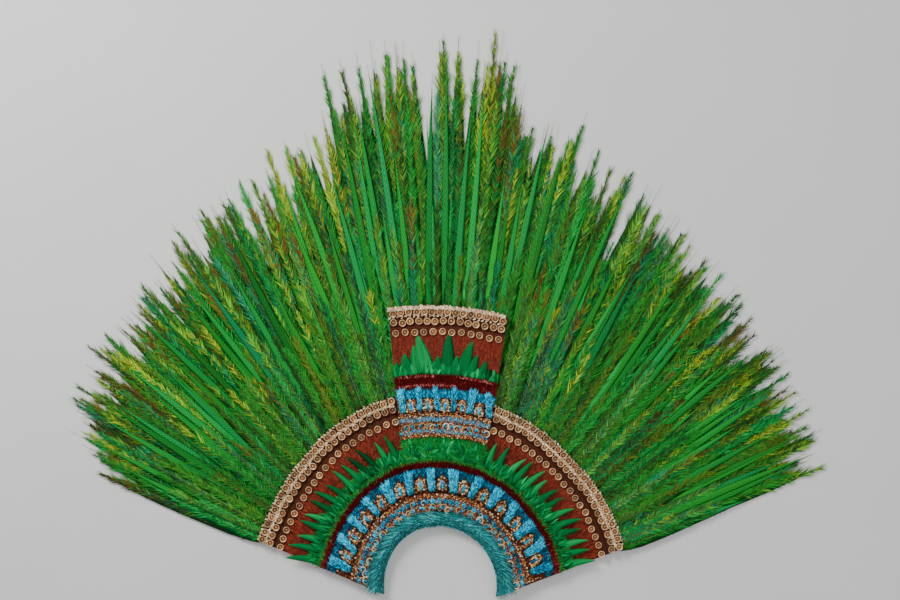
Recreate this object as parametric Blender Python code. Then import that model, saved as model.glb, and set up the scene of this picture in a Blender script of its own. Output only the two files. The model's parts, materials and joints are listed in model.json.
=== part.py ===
"""A feathered headdress that lies on its back.

Bands of small feathers and gold discs make a half-ring crown round the head arch. A raised panel stands
over the crown's middle, and a fan of long plumes spreads from under the crown's rim. Lengths are in metres
and angles in degrees. The plumes point along +Y, the front faces +Z, and the back is flat.

A place on the crown has two coordinates: a direction, seen from the pivot below the head arch, and a
radius, measured from the centre of the arch. The crown's two feet lie on rays from the pivot, and so do
the plumes.
"""

import math
from collections import namedtuple

import bmesh
import bpy
from mathutils import Vector

# Head arch and the widths of the crown's bands, from the arch outwards
HEAD_ARCH_RADIUS = 0.133
EDGE_ROLL_WIDTH = 0.035
MOSAIC_BAND_WIDTH = 0.042
BLUE_BAND_WIDTH = 0.058
RED_FRINGE_WIDTH = 0.015
GREEN_BAND_WIDTH = 0.034
RUST_BAND_WIDTH = 0.053
BROWN_STRIP_WIDTH = 0.029
GOLD_RIM_WIDTH = 0.039

# Directions of the crown's feet, seen from the pivot
PIVOT_DROP = 0.080
RIGHT_FOOT_DIRECTION = 20.8
LEFT_FOOT_DIRECTION = 157.0
SIDE_SECTIONS = 9
MIDDLE_SECTIONS = 4
ROLL_END_GAP = 0.8

# Thickness of the crown's layers
BASE_THICKNESS = 0.006
EDGE_ROLL_HEIGHT = 0.030
EDGE_ROLL_WRAP = 0.010
MOSAIC_BAND_THICKNESS = 0.018
BLUE_BAND_THICKNESS = 0.014
RED_FRINGE_HEIGHT = 0.018
GREEN_BAND_THICKNESS = 0.012
RUST_BAND_THICKNESS = 0.0055
BROWN_STRIP_THICKNESS = 0.006
GOLD_RIM_THICKNESS = 0.003
LAY_GAP = 0.0003

# Gold discs
DISC_RADIUS = 0.0085
DISC_HEIGHT = 0.0045
DISC_SIDES = 8
DISC_PIT_DEPTH = 0.0025
DISC_SINK = 0.001
RIM_DISCS_PER_SIDE = 21
STRIP_DISCS_PER_SIDE = 19
PANEL_RIM_DISCS = 14
PANEL_STRIP_DISCS = 12
PANEL_DISC_MARGIN = 0.002
RIM_ROLL_HEIGHT = 0.004
DISC_FOOT_MARGIN = 1.3
DISC_PANEL_MARGIN = 1.3

# Tufts and gold steps of the blue bands
TUFT_COUNT = 14
TUFT_WIDTH = 0.022
TUFT_HEIGHT = 0.011
TUFT_SINK = 0.001
STEP_THICKNESS = 0.0035
STEP_RAIL_WIDTH = 0.0055
PANEL_TUFT_COUNT = 6
PANEL_TUFT_WIDTH = 0.015
PANEL_TUFT_HEIGHT = 0.009

# Green points
GREEN_POINT_COUNT = 36
GREEN_POINT_LENGTH = 0.047
GREEN_POINT_THICKNESS = 0.0035
GREEN_POINT_VALLEY = 0.0020
LAP_CLEARANCE = 0.0015
PANEL_GREEN_POINTS = 9
PANEL_POINT_LENGTH = 0.060
PANEL_POINT_THICKNESS = 0.0020
PANEL_POINT_VALLEY = 0.0012

# Raised panel: radii are measured from the pivot
PANEL_FOOT_RADIUS = 0.4225
PANEL_MOSAIC_WIDTH = 0.0555
PANEL_BLUE_WIDTH = 0.0630
PANEL_RED_WIDTH = 0.0250
PANEL_GREEN_WIDTH = 0.0240
PANEL_RUST_WIDTH = 0.0650
PANEL_STRIP_WIDTH = 0.0285
PANEL_RIM_WIDTH = 0.0420
PANEL_FOOT_HALF_WIDTH = 0.1005
PANEL_HEAD_HALF_WIDTH = 0.1400
PANEL_FOOT_SHIFT = 0.0090
PANEL_HEAD_SHIFT = 0.0180
PANEL_SLANT_SHARE = 0.007
PANEL_BASE_THICKNESS = 0.004
PANEL_BAND_THICKNESS = 0.005
PANEL_RED_HEIGHT = 0.011
PANEL_RUST_THICKNESS = 0.003
PANEL_SECTIONS = 8

# Directions between which the rim's roll is pressed flat under the panel
PANEL_RIGHT_DIRECTION = 75.0
PANEL_LEFT_DIRECTION = 102.1

# Fan of long plumes: reaches are measured from the pivot
SIDE_REACH = 1.120
CREST_REACH = 1.352
SIDE_LOCKS = 20
CREST_LOCKS = 12
CREST_RIGHT_DIRECTION = 75.0
CREST_LEFT_DIRECTION = 102.2
FAN_SIDE_GAP = 0.15
QUILL_HEAD_WIDTH = 0.032
QUILL_HEAD_THICKNESS = 0.0045
FAN_FOOT_CLEARANCE = 0.0020
PLUME_RIDGE_HEIGHT = 0.014
PLUME_VALLEY_SHARE = 0.72
PLUME_RISE_SHARE = 0.22
PLUME_SPLIT_SHARE = 0.78
PLUME_SPLIT_HEIGHT = 0.80

Sway = namedtuple("Sway", "across scale")
RIM_SWAY = [
    Sway(0.00, 1.000),
    Sway(0.10, 0.985),
    Sway(0.22, 0.969),
    Sway(0.34, 0.984),
    Sway(0.43, 0.998),
    Sway(0.50, 1.012),
    Sway(0.62, 1.027),
    Sway(0.72, 1.010),
    Sway(0.82, 0.990),
    Sway(0.92, 0.986),
    Sway(1.00, 1.000),
]

Outline = namedtuple("Outline", "across reach")
RIGHT_OUTLINE = [
    Outline(0.00, 0.888),
    Outline(0.15, 0.875),
    Outline(0.30, 0.880),
    Outline(0.50, 0.905),
    Outline(0.70, 0.960),
    Outline(0.85, 0.985),
    Outline(1.00, 0.995),
]
CREST_OUTLINE = [
    Outline(0.00, 0.890),
    Outline(0.18, 0.905),
    Outline(0.24, 0.965),
    Outline(0.40, 0.985),
    Outline(0.60, 1.000),
    Outline(0.78, 0.995),
    Outline(1.00, 0.962),
]
LEFT_OUTLINE = [
    Outline(0.00, 1.000),
    Outline(0.20, 0.992),
    Outline(0.40, 0.968),
    Outline(0.60, 0.915),
    Outline(0.80, 0.880),
    Outline(1.00, 0.838),
]

LockSection = namedtuple("LockSection", "along width ridge")
LOCK_SECTIONS = [LockSection(0.40, 0.80, 0.70), LockSection(0.78, 0.46, 0.45)]
LOCK_TIP = LockSection(1.00, 0.00, 0.16)
LOCK_LENGTHS = [1.00, 0.88, 0.96, 0.82, 1.00, 0.92, 0.85]
POINT_SECTIONS = [LockSection(0.35, 0.66, 1.0)]
POINT_TIP = LockSection(1.00, 0.00, 0.60)
POINT_LENGTHS = [1.00, 0.86, 0.94, 0.78, 1.04]
MIDDLE_POINT_SHARE = 0.28
SHORT_POINT_MARGIN = 1.9
PANEL_POINT_LENGTHS = [0.35, 0.60, 1.00, 0.45, 1.00, 0.95, 0.55, 0.45, 0.25]

StepOutline = namedtuple("StepOutline", "out half")
STEP_OUTLINE = [StepOutline(0.46, 1.00), StepOutline(0.74, 0.66), StepOutline(1.00, 0.33)]
STEP_HALF_WIDTH = 0.0110
STEP_LENGTH = 0.040
STEP_WINDOW_LENGTH = 0.016
PANEL_STEP_SHARE = 0.80

ProfileCorner = namedtuple("ProfileCorner", "across height")
EDGE_ROLL_PROFILE = [
    ProfileCorner(1.00, 0.84),
    ProfileCorner(0.62, 1.00),
    ProfileCorner(0.25, 0.90),
    ProfileCorner(0.05, 0.60),
    ProfileCorner(0.00, 0.00),
]
RIM_ROLL_PROFILE = [
    ProfileCorner(1.00, 0.0),
    ProfileCorner(0.88, 1.0),
    ProfileCorner(0.66, 1.0),
    ProfileCorner(0.54, 0.0),
]
RIM_DISC_PLACE = 0.71
STRIP_DISC_PLACE = 0.40
PAD_SHOULDER_WIDTH = 0.30
MOSAIC_SHOULDER = 0.85
RED_SHOULDER = 0.75
PANEL_RED_SHOULDER = 0.60
DISC_LIP_SHARE = 0.86

TuftCorner = namedtuple("TuftCorner", "along half")
TUFT_SIDE = [
    TuftCorner(-0.50, 0.60),
    TuftCorner(-0.25, 0.88),
    TuftCorner(0.35, 1.00),
    TuftCorner(0.50, 0.68),
]
TUFT_TOP_LENGTH = 0.80
TUFT_TOP_WIDTH = 0.60
TUFT_FOOT_PLACE = 0.08
TUFT_HEAD_PLACE = 0.94

Colour = namedtuple("Colour", "red green blue roughness metallic")
COLOURS = {
    "backing": Colour(0.10, 0.045, 0.025, 0.9, 0.0),
    "turquoise_feather": Colour(0.02, 0.32, 0.36, 0.6, 0.0),
    "blue_feather": Colour(0.05, 0.42, 0.62, 0.7, 0.0),
    "red_feather": Colour(0.16, 0.010, 0.012, 0.8, 0.0),
    "green_feather": Colour(0.01, 0.26, 0.06, 0.6, 0.0),
    "rust_feather": Colour(0.25, 0.045, 0.018, 0.7, 0.0),
    "brown_strip": Colour(0.10, 0.028, 0.020, 0.8, 0.0),
    "gold": Colour(0.78, 0.56, 0.34, 0.35, 1.0),
    "plume": Colour(0.03, 0.28, 0.06, 0.5, 0.0),
}

# Radii of the crown's bands, which follow from the widths
EDGE_ROLL_OUTER = HEAD_ARCH_RADIUS + EDGE_ROLL_WIDTH
MOSAIC_OUTER = EDGE_ROLL_OUTER + MOSAIC_BAND_WIDTH
BLUE_OUTER = MOSAIC_OUTER + BLUE_BAND_WIDTH
RED_OUTER = BLUE_OUTER + RED_FRINGE_WIDTH
GREEN_OUTER = RED_OUTER + GREEN_BAND_WIDTH
RUST_OUTER = GREEN_OUTER + RUST_BAND_WIDTH
BROWN_OUTER = RUST_OUTER + BROWN_STRIP_WIDTH
RIM_OUTER = BROWN_OUTER + GOLD_RIM_WIDTH

# Radii of the panel's bands
PANEL_MOSAIC_OUTER = PANEL_FOOT_RADIUS + PANEL_MOSAIC_WIDTH
PANEL_BLUE_OUTER = PANEL_MOSAIC_OUTER + PANEL_BLUE_WIDTH
PANEL_RED_OUTER = PANEL_BLUE_OUTER + PANEL_RED_WIDTH
PANEL_GREEN_OUTER = PANEL_RED_OUTER + PANEL_GREEN_WIDTH
PANEL_RUST_OUTER = PANEL_GREEN_OUTER + PANEL_RUST_WIDTH
PANEL_STRIP_OUTER = PANEL_RUST_OUTER + PANEL_STRIP_WIDTH
PANEL_HEAD_RADIUS = PANEL_STRIP_OUTER + PANEL_RIM_WIDTH

# Heights at which the layers lie
CROWN_FLOOR = BASE_THICKNESS + LAY_GAP
RIM_FLOOR = CROWN_FLOOR + QUILL_HEAD_THICKNESS + LAY_GAP
PANEL_FLOOR = RIM_FLOOR + GOLD_RIM_THICKNESS + LAY_GAP
PANEL_BAND_FLOOR = PANEL_FLOOR + PANEL_BASE_THICKNESS + LAY_GAP


def clear_scene():
    for stray in list(bpy.data.objects):
        bpy.data.objects.remove(stray)


def interpolate(rows, across):
    """The second column of a table at a place between 0 and 1, eased between its rows."""
    for low, high in zip(rows, rows[1:]):
        if across <= high[0]:
            share = (across - low[0]) / (high[0] - low[0])
            eased = share * share * (3 - 2 * share)
            return low[1] + (high[1] - low[1]) * eased
    return rows[-1][1]


def spread(start, end, count):
    """Evenly spaced values from start to end, both ends included, in that many steps."""
    return [start + (end - start) * index / count for index in range(count + 1)]


def crown_reach(direction, radius):
    """How far from the pivot a ray in this direction meets the crown's circle of this radius."""
    across = (direction - RIGHT_FOOT_DIRECTION) / (LEFT_FOOT_DIRECTION - RIGHT_FOOT_DIRECTION)
    swayed = radius * interpolate(RIM_SWAY, min(max(across, 0.0), 1.0))
    angle = math.radians(direction)
    return PIVOT_DROP * math.sin(angle) + math.sqrt(swayed**2 - (PIVOT_DROP * math.cos(angle)) ** 2)


def pivot_point(direction, reach, height):
    angle = math.radians(direction)
    return Vector((reach * math.cos(angle), reach * math.sin(angle) - PIVOT_DROP, height))


def crown_point(direction, radius, height):
    return pivot_point(direction, crown_reach(direction, radius), height)


def round_directions(start, end, radius, steps):
    """Directions from start to end, spaced evenly along the crown's circle of this radius.

    The circle's angles are measured from its top, so that they stay in order down to both feet.
    """
    ends = [crown_point(direction, radius, 0.0) for direction in (start, end)]
    angles = spread(*(math.atan2(point.x, point.y) for point in ends), steps)
    return [
        math.degrees(math.atan2(radius * math.cos(angle) + PIVOT_DROP, radius * math.sin(angle)))
        for angle in angles
    ]


def panel_point(across, radius, height):
    """A place on the panel: across runs from -1 at its left edge to 1 at its right edge."""
    share = (radius - PANEL_FOOT_RADIUS) / (PANEL_HEAD_RADIUS - PANEL_FOOT_RADIUS)
    half_width = PANEL_FOOT_HALF_WIDTH + (PANEL_HEAD_HALF_WIDTH - PANEL_FOOT_HALF_WIDTH) * share
    shift = PANEL_FOOT_SHIFT + (PANEL_HEAD_SHIFT - PANEL_FOOT_SHIFT) * share
    x = shift + across * half_width
    reach = radius * (1 - PANEL_SLANT_SHARE * across)
    return Vector((x, math.sqrt(reach**2 - x**2) - PIVOT_DROP, height))


def make_materials():
    materials = {}
    for name, colour in COLOURS.items():
        material = bpy.data.materials.new(name)
        material.use_nodes = True
        shader = material.node_tree.nodes["Principled BSDF"]
        shader.inputs["Base Color"].default_value = (colour.red, colour.green, colour.blue, 1.0)
        shader.inputs["Roughness"].default_value = colour.roughness
        shader.inputs["Metallic"].default_value = colour.metallic
        material.diffuse_color = (colour.red, colour.green, colour.blue, 1.0)
        materials[name] = material
    return materials


def add_object(name, shape, material, parent):
    """Turns a bmesh into an object with outward faces, under the headdress's empty."""
    bmesh.ops.recalc_face_normals(shape, faces=shape.faces)
    mesh = bpy.data.meshes.new(name)
    shape.to_mesh(mesh)
    shape.free()
    mesh.materials.append(material)
    made = bpy.data.objects.new(name, mesh)
    made.parent = parent
    bpy.context.scene.collection.objects.link(made)
    return made


def fuse(body, addition):
    """Joins another object's shape to the body with a Boolean union; it stays as a hidden helper."""
    addition.hide_render = True
    addition.display_type = "WIRE"
    union = body.modifiers.new("fuse_" + addition.name, "BOOLEAN")
    union.operation = "UNION"
    union.solver = "EXACT"
    union.object = addition


def swept_shape(stations, profile, place):
    """A closed bar: its profile of (radius, height) corners is repeated at each station along the band."""
    shape = bmesh.new()
    rings = [[shape.verts.new(place(station, *corner)) for corner in profile] for station in stations]
    count = len(profile)
    for ring, following in zip(rings, rings[1:]):
        for index in range(count):
            after = (index + 1) % count
            shape.faces.new((ring[index], ring[after], following[after], following[index]))
    shape.faces.new(rings[0])
    shape.faces.new(rings[-1])
    return shape


def crown_stations():
    """Directions of the bands' sections, with a close pair where the rim's roll ends beside the panel."""
    right = spread(RIGHT_FOOT_DIRECTION, PANEL_RIGHT_DIRECTION - ROLL_END_GAP, SIDE_SECTIONS)
    middle = spread(PANEL_RIGHT_DIRECTION, PANEL_LEFT_DIRECTION, MIDDLE_SECTIONS)
    left = spread(PANEL_LEFT_DIRECTION + ROLL_END_GAP, LEFT_FOOT_DIRECTION, SIDE_SECTIONS)
    return right + middle + left


def panel_stations():
    return spread(-1.0, 1.0, PANEL_SECTIONS)


def flat_profile(inner, outer, low, high):
    """Corners of a band with square sides, which keeps a small gap to the band inside it."""
    return [(inner + LAY_GAP, low), (outer, low), (outer, high), (inner + LAY_GAP, high)]


def crowned_profile(inner, outer, low, high, shoulder):
    """Corners of a padded band, whose top is rounded down to its shoulders."""
    slope = PAD_SHOULDER_WIDTH * (outer - inner)
    return [
        (inner + LAY_GAP, low),
        (outer, low),
        (outer, low + (high - low) * shoulder),
        (outer - slope, high),
        (inner + slope, high),
        (inner + LAY_GAP, low + (high - low) * shoulder),
    ]


PlateRow = namedtuple("PlateRow", "reach ridge valley floor")


def comb_shape(boundaries, plate, teeth, tip, lengths, place):
    """A closed plate whose far edge is cut into pointed teeth.

    boundaries are the places where the teeth meet. Each row of the plate gives its reach as a function of
    the place along the comb, the height of the ridge in the middle of each tooth, of the valley between two
    teeth, and of the underside. teeth and tip are sections between the plate's last row and the tips.
    """
    shape = bmesh.new()
    middles = [(low + high) / 2 for low, high in zip(boundaries, boundaries[1:])]
    tops, floors = [], []
    for row in plate:
        valleys = [shape.verts.new(place(at, row.reach(at), row.valley)) for at in boundaries]
        ridges = [shape.verts.new(place(at, row.reach(at), row.ridge)) for at in middles]
        tops.append((valleys, ridges))
        floors.append([shape.verts.new(place(at, row.reach(at), row.floor)) for at in boundaries])
    last = len(boundaries) - 1
    for row in range(len(plate) - 1):
        (valleys, ridges), (next_valleys, next_ridges) = tops[row], tops[row + 1]
        floor, next_floor = floors[row], floors[row + 1]
        for index, (ridge, next_ridge) in enumerate(zip(ridges, next_ridges)):
            shape.faces.new((valleys[index], ridge, next_ridge, next_valleys[index]))
            shape.faces.new((ridge, valleys[index + 1], next_valleys[index + 1], next_ridge))
            shape.faces.new((floor[index], next_floor[index], next_floor[index + 1], floor[index + 1]))
        for end in (0, last):
            shape.faces.new((valleys[end], next_valleys[end], next_floor[end], floor[end]))
    valleys, ridges = tops[0]
    for index, ridge in enumerate(ridges):
        shape.faces.new((valleys[index], ridge, valleys[index + 1], floors[0][index + 1], floors[0][index]))
    valleys, ridges = tops[-1]
    base = plate[-1]
    for index, middle in enumerate(middles):
        half = (boundaries[index + 1] - boundaries[index]) / 2
        start = base.reach(middle)
        top = [valleys[index], ridges[index], valleys[index + 1]]
        floor = [floors[-1][index], floors[-1][index + 1]]
        for section in teeth:
            reach = start + (lengths[index] - start) * section.along
            ridge_height = base.floor + (base.ridge - base.floor) * section.ridge
            edge_height = base.floor + (base.valley - base.floor) * section.ridge
            left, right = middle - half * section.width, middle + half * section.width
            next_top = [
                shape.verts.new(place(left, reach, edge_height)),
                shape.verts.new(place(middle, reach, ridge_height)),
                shape.verts.new(place(right, reach, edge_height)),
            ]
            next_floor = [shape.verts.new(place(side, reach, base.floor)) for side in (left, right)]
            shape.faces.new((top[0], top[1], next_top[1], next_top[0]))
            shape.faces.new((top[1], top[2], next_top[2], next_top[1]))
            shape.faces.new((floor[0], next_floor[0], next_floor[1], floor[1]))
            shape.faces.new((top[0], next_top[0], next_floor[0], floor[0]))
            shape.faces.new((top[2], floor[1], next_floor[1], next_top[2]))
            top, floor = next_top, next_floor
        tip_height = base.floor + (base.ridge - base.floor) * tip.ridge
        high = shape.verts.new(place(middle, lengths[index], tip_height))
        low = shape.verts.new(place(middle, lengths[index], base.floor))
        shape.faces.new((top[0], top[1], high))
        shape.faces.new((top[1], top[2], high))
        shape.faces.new((floor[0], low, floor[1]))
        shape.faces.new((top[0], high, low, floor[0]))
        shape.faces.new((top[2], floor[1], low, high))
    return shape


def disc_field(centres):
    """Gold discs, each a low round stud with a pit in its middle, set at these points of a band's top."""
    shape = bmesh.new()
    turns = [2 * math.pi * side / DISC_SIDES for side in range(DISC_SIDES)]
    lip_radius = DISC_RADIUS * DISC_LIP_SHARE

    def ring(centre, radius, height):
        corners = [Vector((radius * math.cos(turn), radius * math.sin(turn), height)) for turn in turns]
        return [shape.verts.new(centre + corner) for corner in corners]

    for centre in centres:
        foot = ring(centre, DISC_RADIUS, -DISC_SINK)
        lip = ring(centre, lip_radius, DISC_HEIGHT)
        pit = shape.verts.new(centre + Vector((0, 0, DISC_HEIGHT - DISC_PIT_DEPTH)))
        shape.faces.new(foot)
        for side in range(DISC_SIDES):
            after = (side + 1) % DISC_SIDES
            shape.faces.new((foot[side], foot[after], lip[after], lip[side]))
            shape.faces.new((lip[side], lip[after], pit))
    return shape


def tuft_field(placings):
    """Long low mounds. A placing is (foot, head, width, height); the tuft runs from foot to head."""
    shape = bmesh.new()
    for foot, head, width, height in placings:
        along = (head - foot).normalized()
        side = Vector((-along.y, along.x, 0))
        length = (head - foot).length
        middle = (foot + head) / 2
        outline = [(corner.along, corner.half / 2) for corner in TUFT_SIDE]
        outline += [(share, -half) for share, half in reversed(outline)]
        low, high = [], []
        for share, half in outline:
            lengthwise = along * (length * share)
            sideways = side * (width * half)
            low.append(shape.verts.new(middle + lengthwise + sideways - Vector((0, 0, TUFT_SINK))))
            top = middle + lengthwise * TUFT_TOP_LENGTH + sideways * TUFT_TOP_WIDTH
            high.append(shape.verts.new(top + Vector((0, 0, height))))
        shape.faces.new(low)
        shape.faces.new(high)
        for index in range(len(outline)):
            after = (index + 1) % len(outline)
            shape.faces.new((low[index], low[after], high[after], high[index]))
    return shape


def step_shape(foot, outward, scale):
    """A gold step ornament: two rails under a stepped gable, cut from sheet, standing on its foot."""
    side = Vector((-outward.y, outward.x, 0))
    half = STEP_HALF_WIDTH * scale
    length = STEP_LENGTH * scale
    outline = []
    for row in STEP_OUTLINE:
        outline.append((row.half * half, outline[-1][1] if outline else 0.0))
        outline.append((row.half * half, row.out * length))
    window_half = half - STEP_RAIL_WIDTH * scale
    window = [(window_half, 0.0), (window_half, STEP_WINDOW_LENGTH * scale)]
    right = outline[::-1] + window
    corners = [(-across, out) for across, out in reversed(right)] + right
    shape = bmesh.new()
    low = [shape.verts.new(foot + side * across + outward * out) for across, out in corners]
    high = [shape.verts.new(vertex.co + Vector((0, 0, STEP_THICKNESS))) for vertex in low]
    shape.faces.new(low)
    shape.faces.new(high)
    for index in range(len(corners)):
        after = (index + 1) % len(corners)
        shape.faces.new((low[index], low[after], high[after], high[index]))
    return shape


def build_crown_base(materials, parent):
    inner = HEAD_ARCH_RADIUS + EDGE_ROLL_WRAP
    profile = [(inner, 0.0), (RIM_OUTER, 0.0), (RIM_OUTER, BASE_THICKNESS), (inner, BASE_THICKNESS)]
    shape = swept_shape(crown_stations(), profile, crown_point)
    add_object("crown_base", shape, materials["backing"], parent)


def build_edge_roll(materials, parent):
    """The turquoise band wraps the arch's edge, from the resting surface up and over the base."""
    wrap = HEAD_ARCH_RADIUS + EDGE_ROLL_WRAP - LAY_GAP
    profile = [(wrap, 0.0), (wrap, CROWN_FLOOR), (EDGE_ROLL_OUTER, CROWN_FLOOR)]
    profile += [
        (HEAD_ARCH_RADIUS + EDGE_ROLL_WIDTH * corner.across, EDGE_ROLL_HEIGHT * corner.height)
        for corner in EDGE_ROLL_PROFILE
    ]
    shape = swept_shape(crown_stations(), profile, crown_point)
    add_object("edge_roll", shape, materials["turquoise_feather"], parent)


def build_plain_bands(materials, parent):
    """The mosaic band, red fringe and rust band go once round the crown with nothing fused to them."""
    mosaic_top = CROWN_FLOOR + MOSAIC_BAND_THICKNESS
    red_top = CROWN_FLOOR + RED_FRINGE_HEIGHT
    mosaic = crowned_profile(EDGE_ROLL_OUTER, MOSAIC_OUTER, CROWN_FLOOR, mosaic_top, MOSAIC_SHOULDER)
    red = crowned_profile(BLUE_OUTER, RED_OUTER, CROWN_FLOOR, red_top, RED_SHOULDER)
    rust = flat_profile(GREEN_OUTER, RUST_OUTER, CROWN_FLOOR, CROWN_FLOOR + RUST_BAND_THICKNESS)
    for name, profile, finish in (
        ("mosaic_band", mosaic, "gold"),
        ("red_fringe", red, "red_feather"),
        ("rust_band", rust, "rust_feather"),
    ):
        add_object(name, swept_shape(crown_stations(), profile, crown_point), materials[finish], parent)


def build_blue_band(materials, parent):
    """The blue band carries long tufts, with a gold step standing between each two of them."""
    top = CROWN_FLOOR + BLUE_BAND_THICKNESS
    profile = flat_profile(MOSAIC_OUTER, BLUE_OUTER, CROWN_FLOOR, top)
    shape = swept_shape(crown_stations(), profile, crown_point)
    band = add_object("blue_band", shape, materials["blue_feather"], parent)
    middle = (MOSAIC_OUTER + BLUE_OUTER) / 2
    halves = round_directions(RIGHT_FOOT_DIRECTION, LEFT_FOOT_DIRECTION, middle, 2 * TUFT_COUNT)
    inner = MOSAIC_OUTER + TUFT_FOOT_PLACE * BLUE_BAND_WIDTH
    outer = MOSAIC_OUTER + TUFT_HEAD_PLACE * BLUE_BAND_WIDTH
    placings = [
        (crown_point(at, inner, top), crown_point(at, outer, top), TUFT_WIDTH, TUFT_HEIGHT)
        for at in halves[1::2]
    ]
    tufts = add_object("blue_band_tufts", tuft_field(placings), materials["blue_feather"], parent)
    fuse(band, tufts)
    for number, at in enumerate(halves[2:-1:2], 1):
        foot = crown_point(at, inner, top + LAY_GAP)
        outward = crown_point(at, outer, top + LAY_GAP) - foot
        shape = step_shape(foot, outward.normalized(), 1.0)
        add_object(f"gold_step_{number:02d}", shape, materials["gold"], parent)


def build_green_band(materials, parent):
    """The green feathers lap over the rust band in long points, which are short under the panel's foot."""
    top = CROWN_FLOOR + GREEN_BAND_THICKNESS
    lap = CROWN_FLOOR + RUST_BAND_THICKNESS + LAY_GAP
    boundaries = round_directions(
        RIGHT_FOOT_DIRECTION, LEFT_FOOT_DIRECTION, GREEN_OUTER, GREEN_POINT_COUNT
    )

    def ring(radius):
        return lambda direction: radius

    plate = [
        PlateRow(ring(RED_OUTER + 2 * LAY_GAP), top, top, CROWN_FLOOR),
        PlateRow(ring(GREEN_OUTER - 2 * LAP_CLEARANCE), top, top - LAP_CLEARANCE, CROWN_FLOOR),
        PlateRow(
            ring(GREEN_OUTER - LAP_CLEARANCE),
            lap + GREEN_POINT_THICKNESS,
            lap + GREEN_POINT_VALLEY,
            lap,
        ),
    ]
    short_from = PANEL_RIGHT_DIRECTION - SHORT_POINT_MARGIN
    short_to = PANEL_LEFT_DIRECTION + SHORT_POINT_MARGIN
    lengths = []
    for index in range(GREEN_POINT_COUNT):
        middle = (boundaries[index] + boundaries[index + 1]) / 2
        share = POINT_LENGTHS[index % len(POINT_LENGTHS)]
        if short_from < middle < short_to:
            share *= MIDDLE_POINT_SHARE
        lengths.append(GREEN_OUTER + GREEN_POINT_LENGTH * share)
    shape = comb_shape(boundaries, plate, POINT_SECTIONS, POINT_TIP, lengths, crown_point)
    add_object("green_band", shape, materials["green_feather"], parent)


def disc_directions(count, radius):
    """Directions of the discs on both sides of the panel, none of them under it."""
    left_edge = panel_point(-1.0, PIVOT_DROP + radius, 0.0)
    right_edge = panel_point(1.0, PIVOT_DROP + radius, 0.0)
    left_start = math.degrees(math.atan2(left_edge.y + PIVOT_DROP, left_edge.x)) + DISC_PANEL_MARGIN
    right_start = math.degrees(math.atan2(right_edge.y + PIVOT_DROP, right_edge.x)) - DISC_PANEL_MARGIN
    right = round_directions(RIGHT_FOOT_DIRECTION + DISC_FOOT_MARGIN, right_start, radius, count - 1)
    left = round_directions(left_start, LEFT_FOOT_DIRECTION - DISC_FOOT_MARGIN, radius, count - 1)
    return right + left


def build_brown_strip(materials, parent):
    top = CROWN_FLOOR + BROWN_STRIP_THICKNESS
    profile = flat_profile(RUST_OUTER, BROWN_OUTER, CROWN_FLOOR, top)
    shape = swept_shape(crown_stations(), profile, crown_point)
    strip = add_object("brown_strip", shape, materials["brown_strip"], parent)
    radius = RUST_OUTER + STRIP_DISC_PLACE * BROWN_STRIP_WIDTH
    centres = [crown_point(at, radius, top) for at in disc_directions(STRIP_DISCS_PER_SIDE, radius)]
    fuse(strip, add_object("brown_strip_discs", disc_field(centres), materials["gold"], parent))


def build_gold_rim(materials, parent):
    """The rim's strip covers the bound quills. It carries a row of discs inside a raised outer roll."""
    top = RIM_FLOOR + GOLD_RIM_THICKNESS
    profile = [(BROWN_OUTER + LAY_GAP, top), (BROWN_OUTER + LAY_GAP, RIM_FLOOR), (RIM_OUTER, RIM_FLOOR)]
    profile += [
        (BROWN_OUTER + GOLD_RIM_WIDTH * corner.across, top + RIM_ROLL_HEIGHT * corner.height)
        for corner in RIM_ROLL_PROFILE
    ]
    flat = [(radius, min(height, top)) for radius, height in profile]

    def place(direction, corner):
        under_panel = PANEL_RIGHT_DIRECTION <= direction <= PANEL_LEFT_DIRECTION
        radius, height = (flat if under_panel else profile)[corner]
        return crown_point(direction, radius, height)

    shape = bmesh.new()
    rings = [
        [shape.verts.new(place(at, corner)) for corner in range(len(profile))] for at in crown_stations()
    ]
    for ring, following in zip(rings, rings[1:]):
        for index in range(len(profile)):
            after = (index + 1) % len(profile)
            shape.faces.new((ring[index], ring[after], following[after], following[index]))
    shape.faces.new(rings[0])
    shape.faces.new(rings[-1])
    rim = add_object("gold_rim", shape, materials["gold"], parent)
    radius = BROWN_OUTER + (1 - RIM_DISC_PLACE) * GOLD_RIM_WIDTH
    centres = [crown_point(at, radius, top) for at in disc_directions(RIM_DISCS_PER_SIDE, radius)]
    fuse(rim, add_object("gold_rim_discs", disc_field(centres), materials["gold"], parent))


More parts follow.
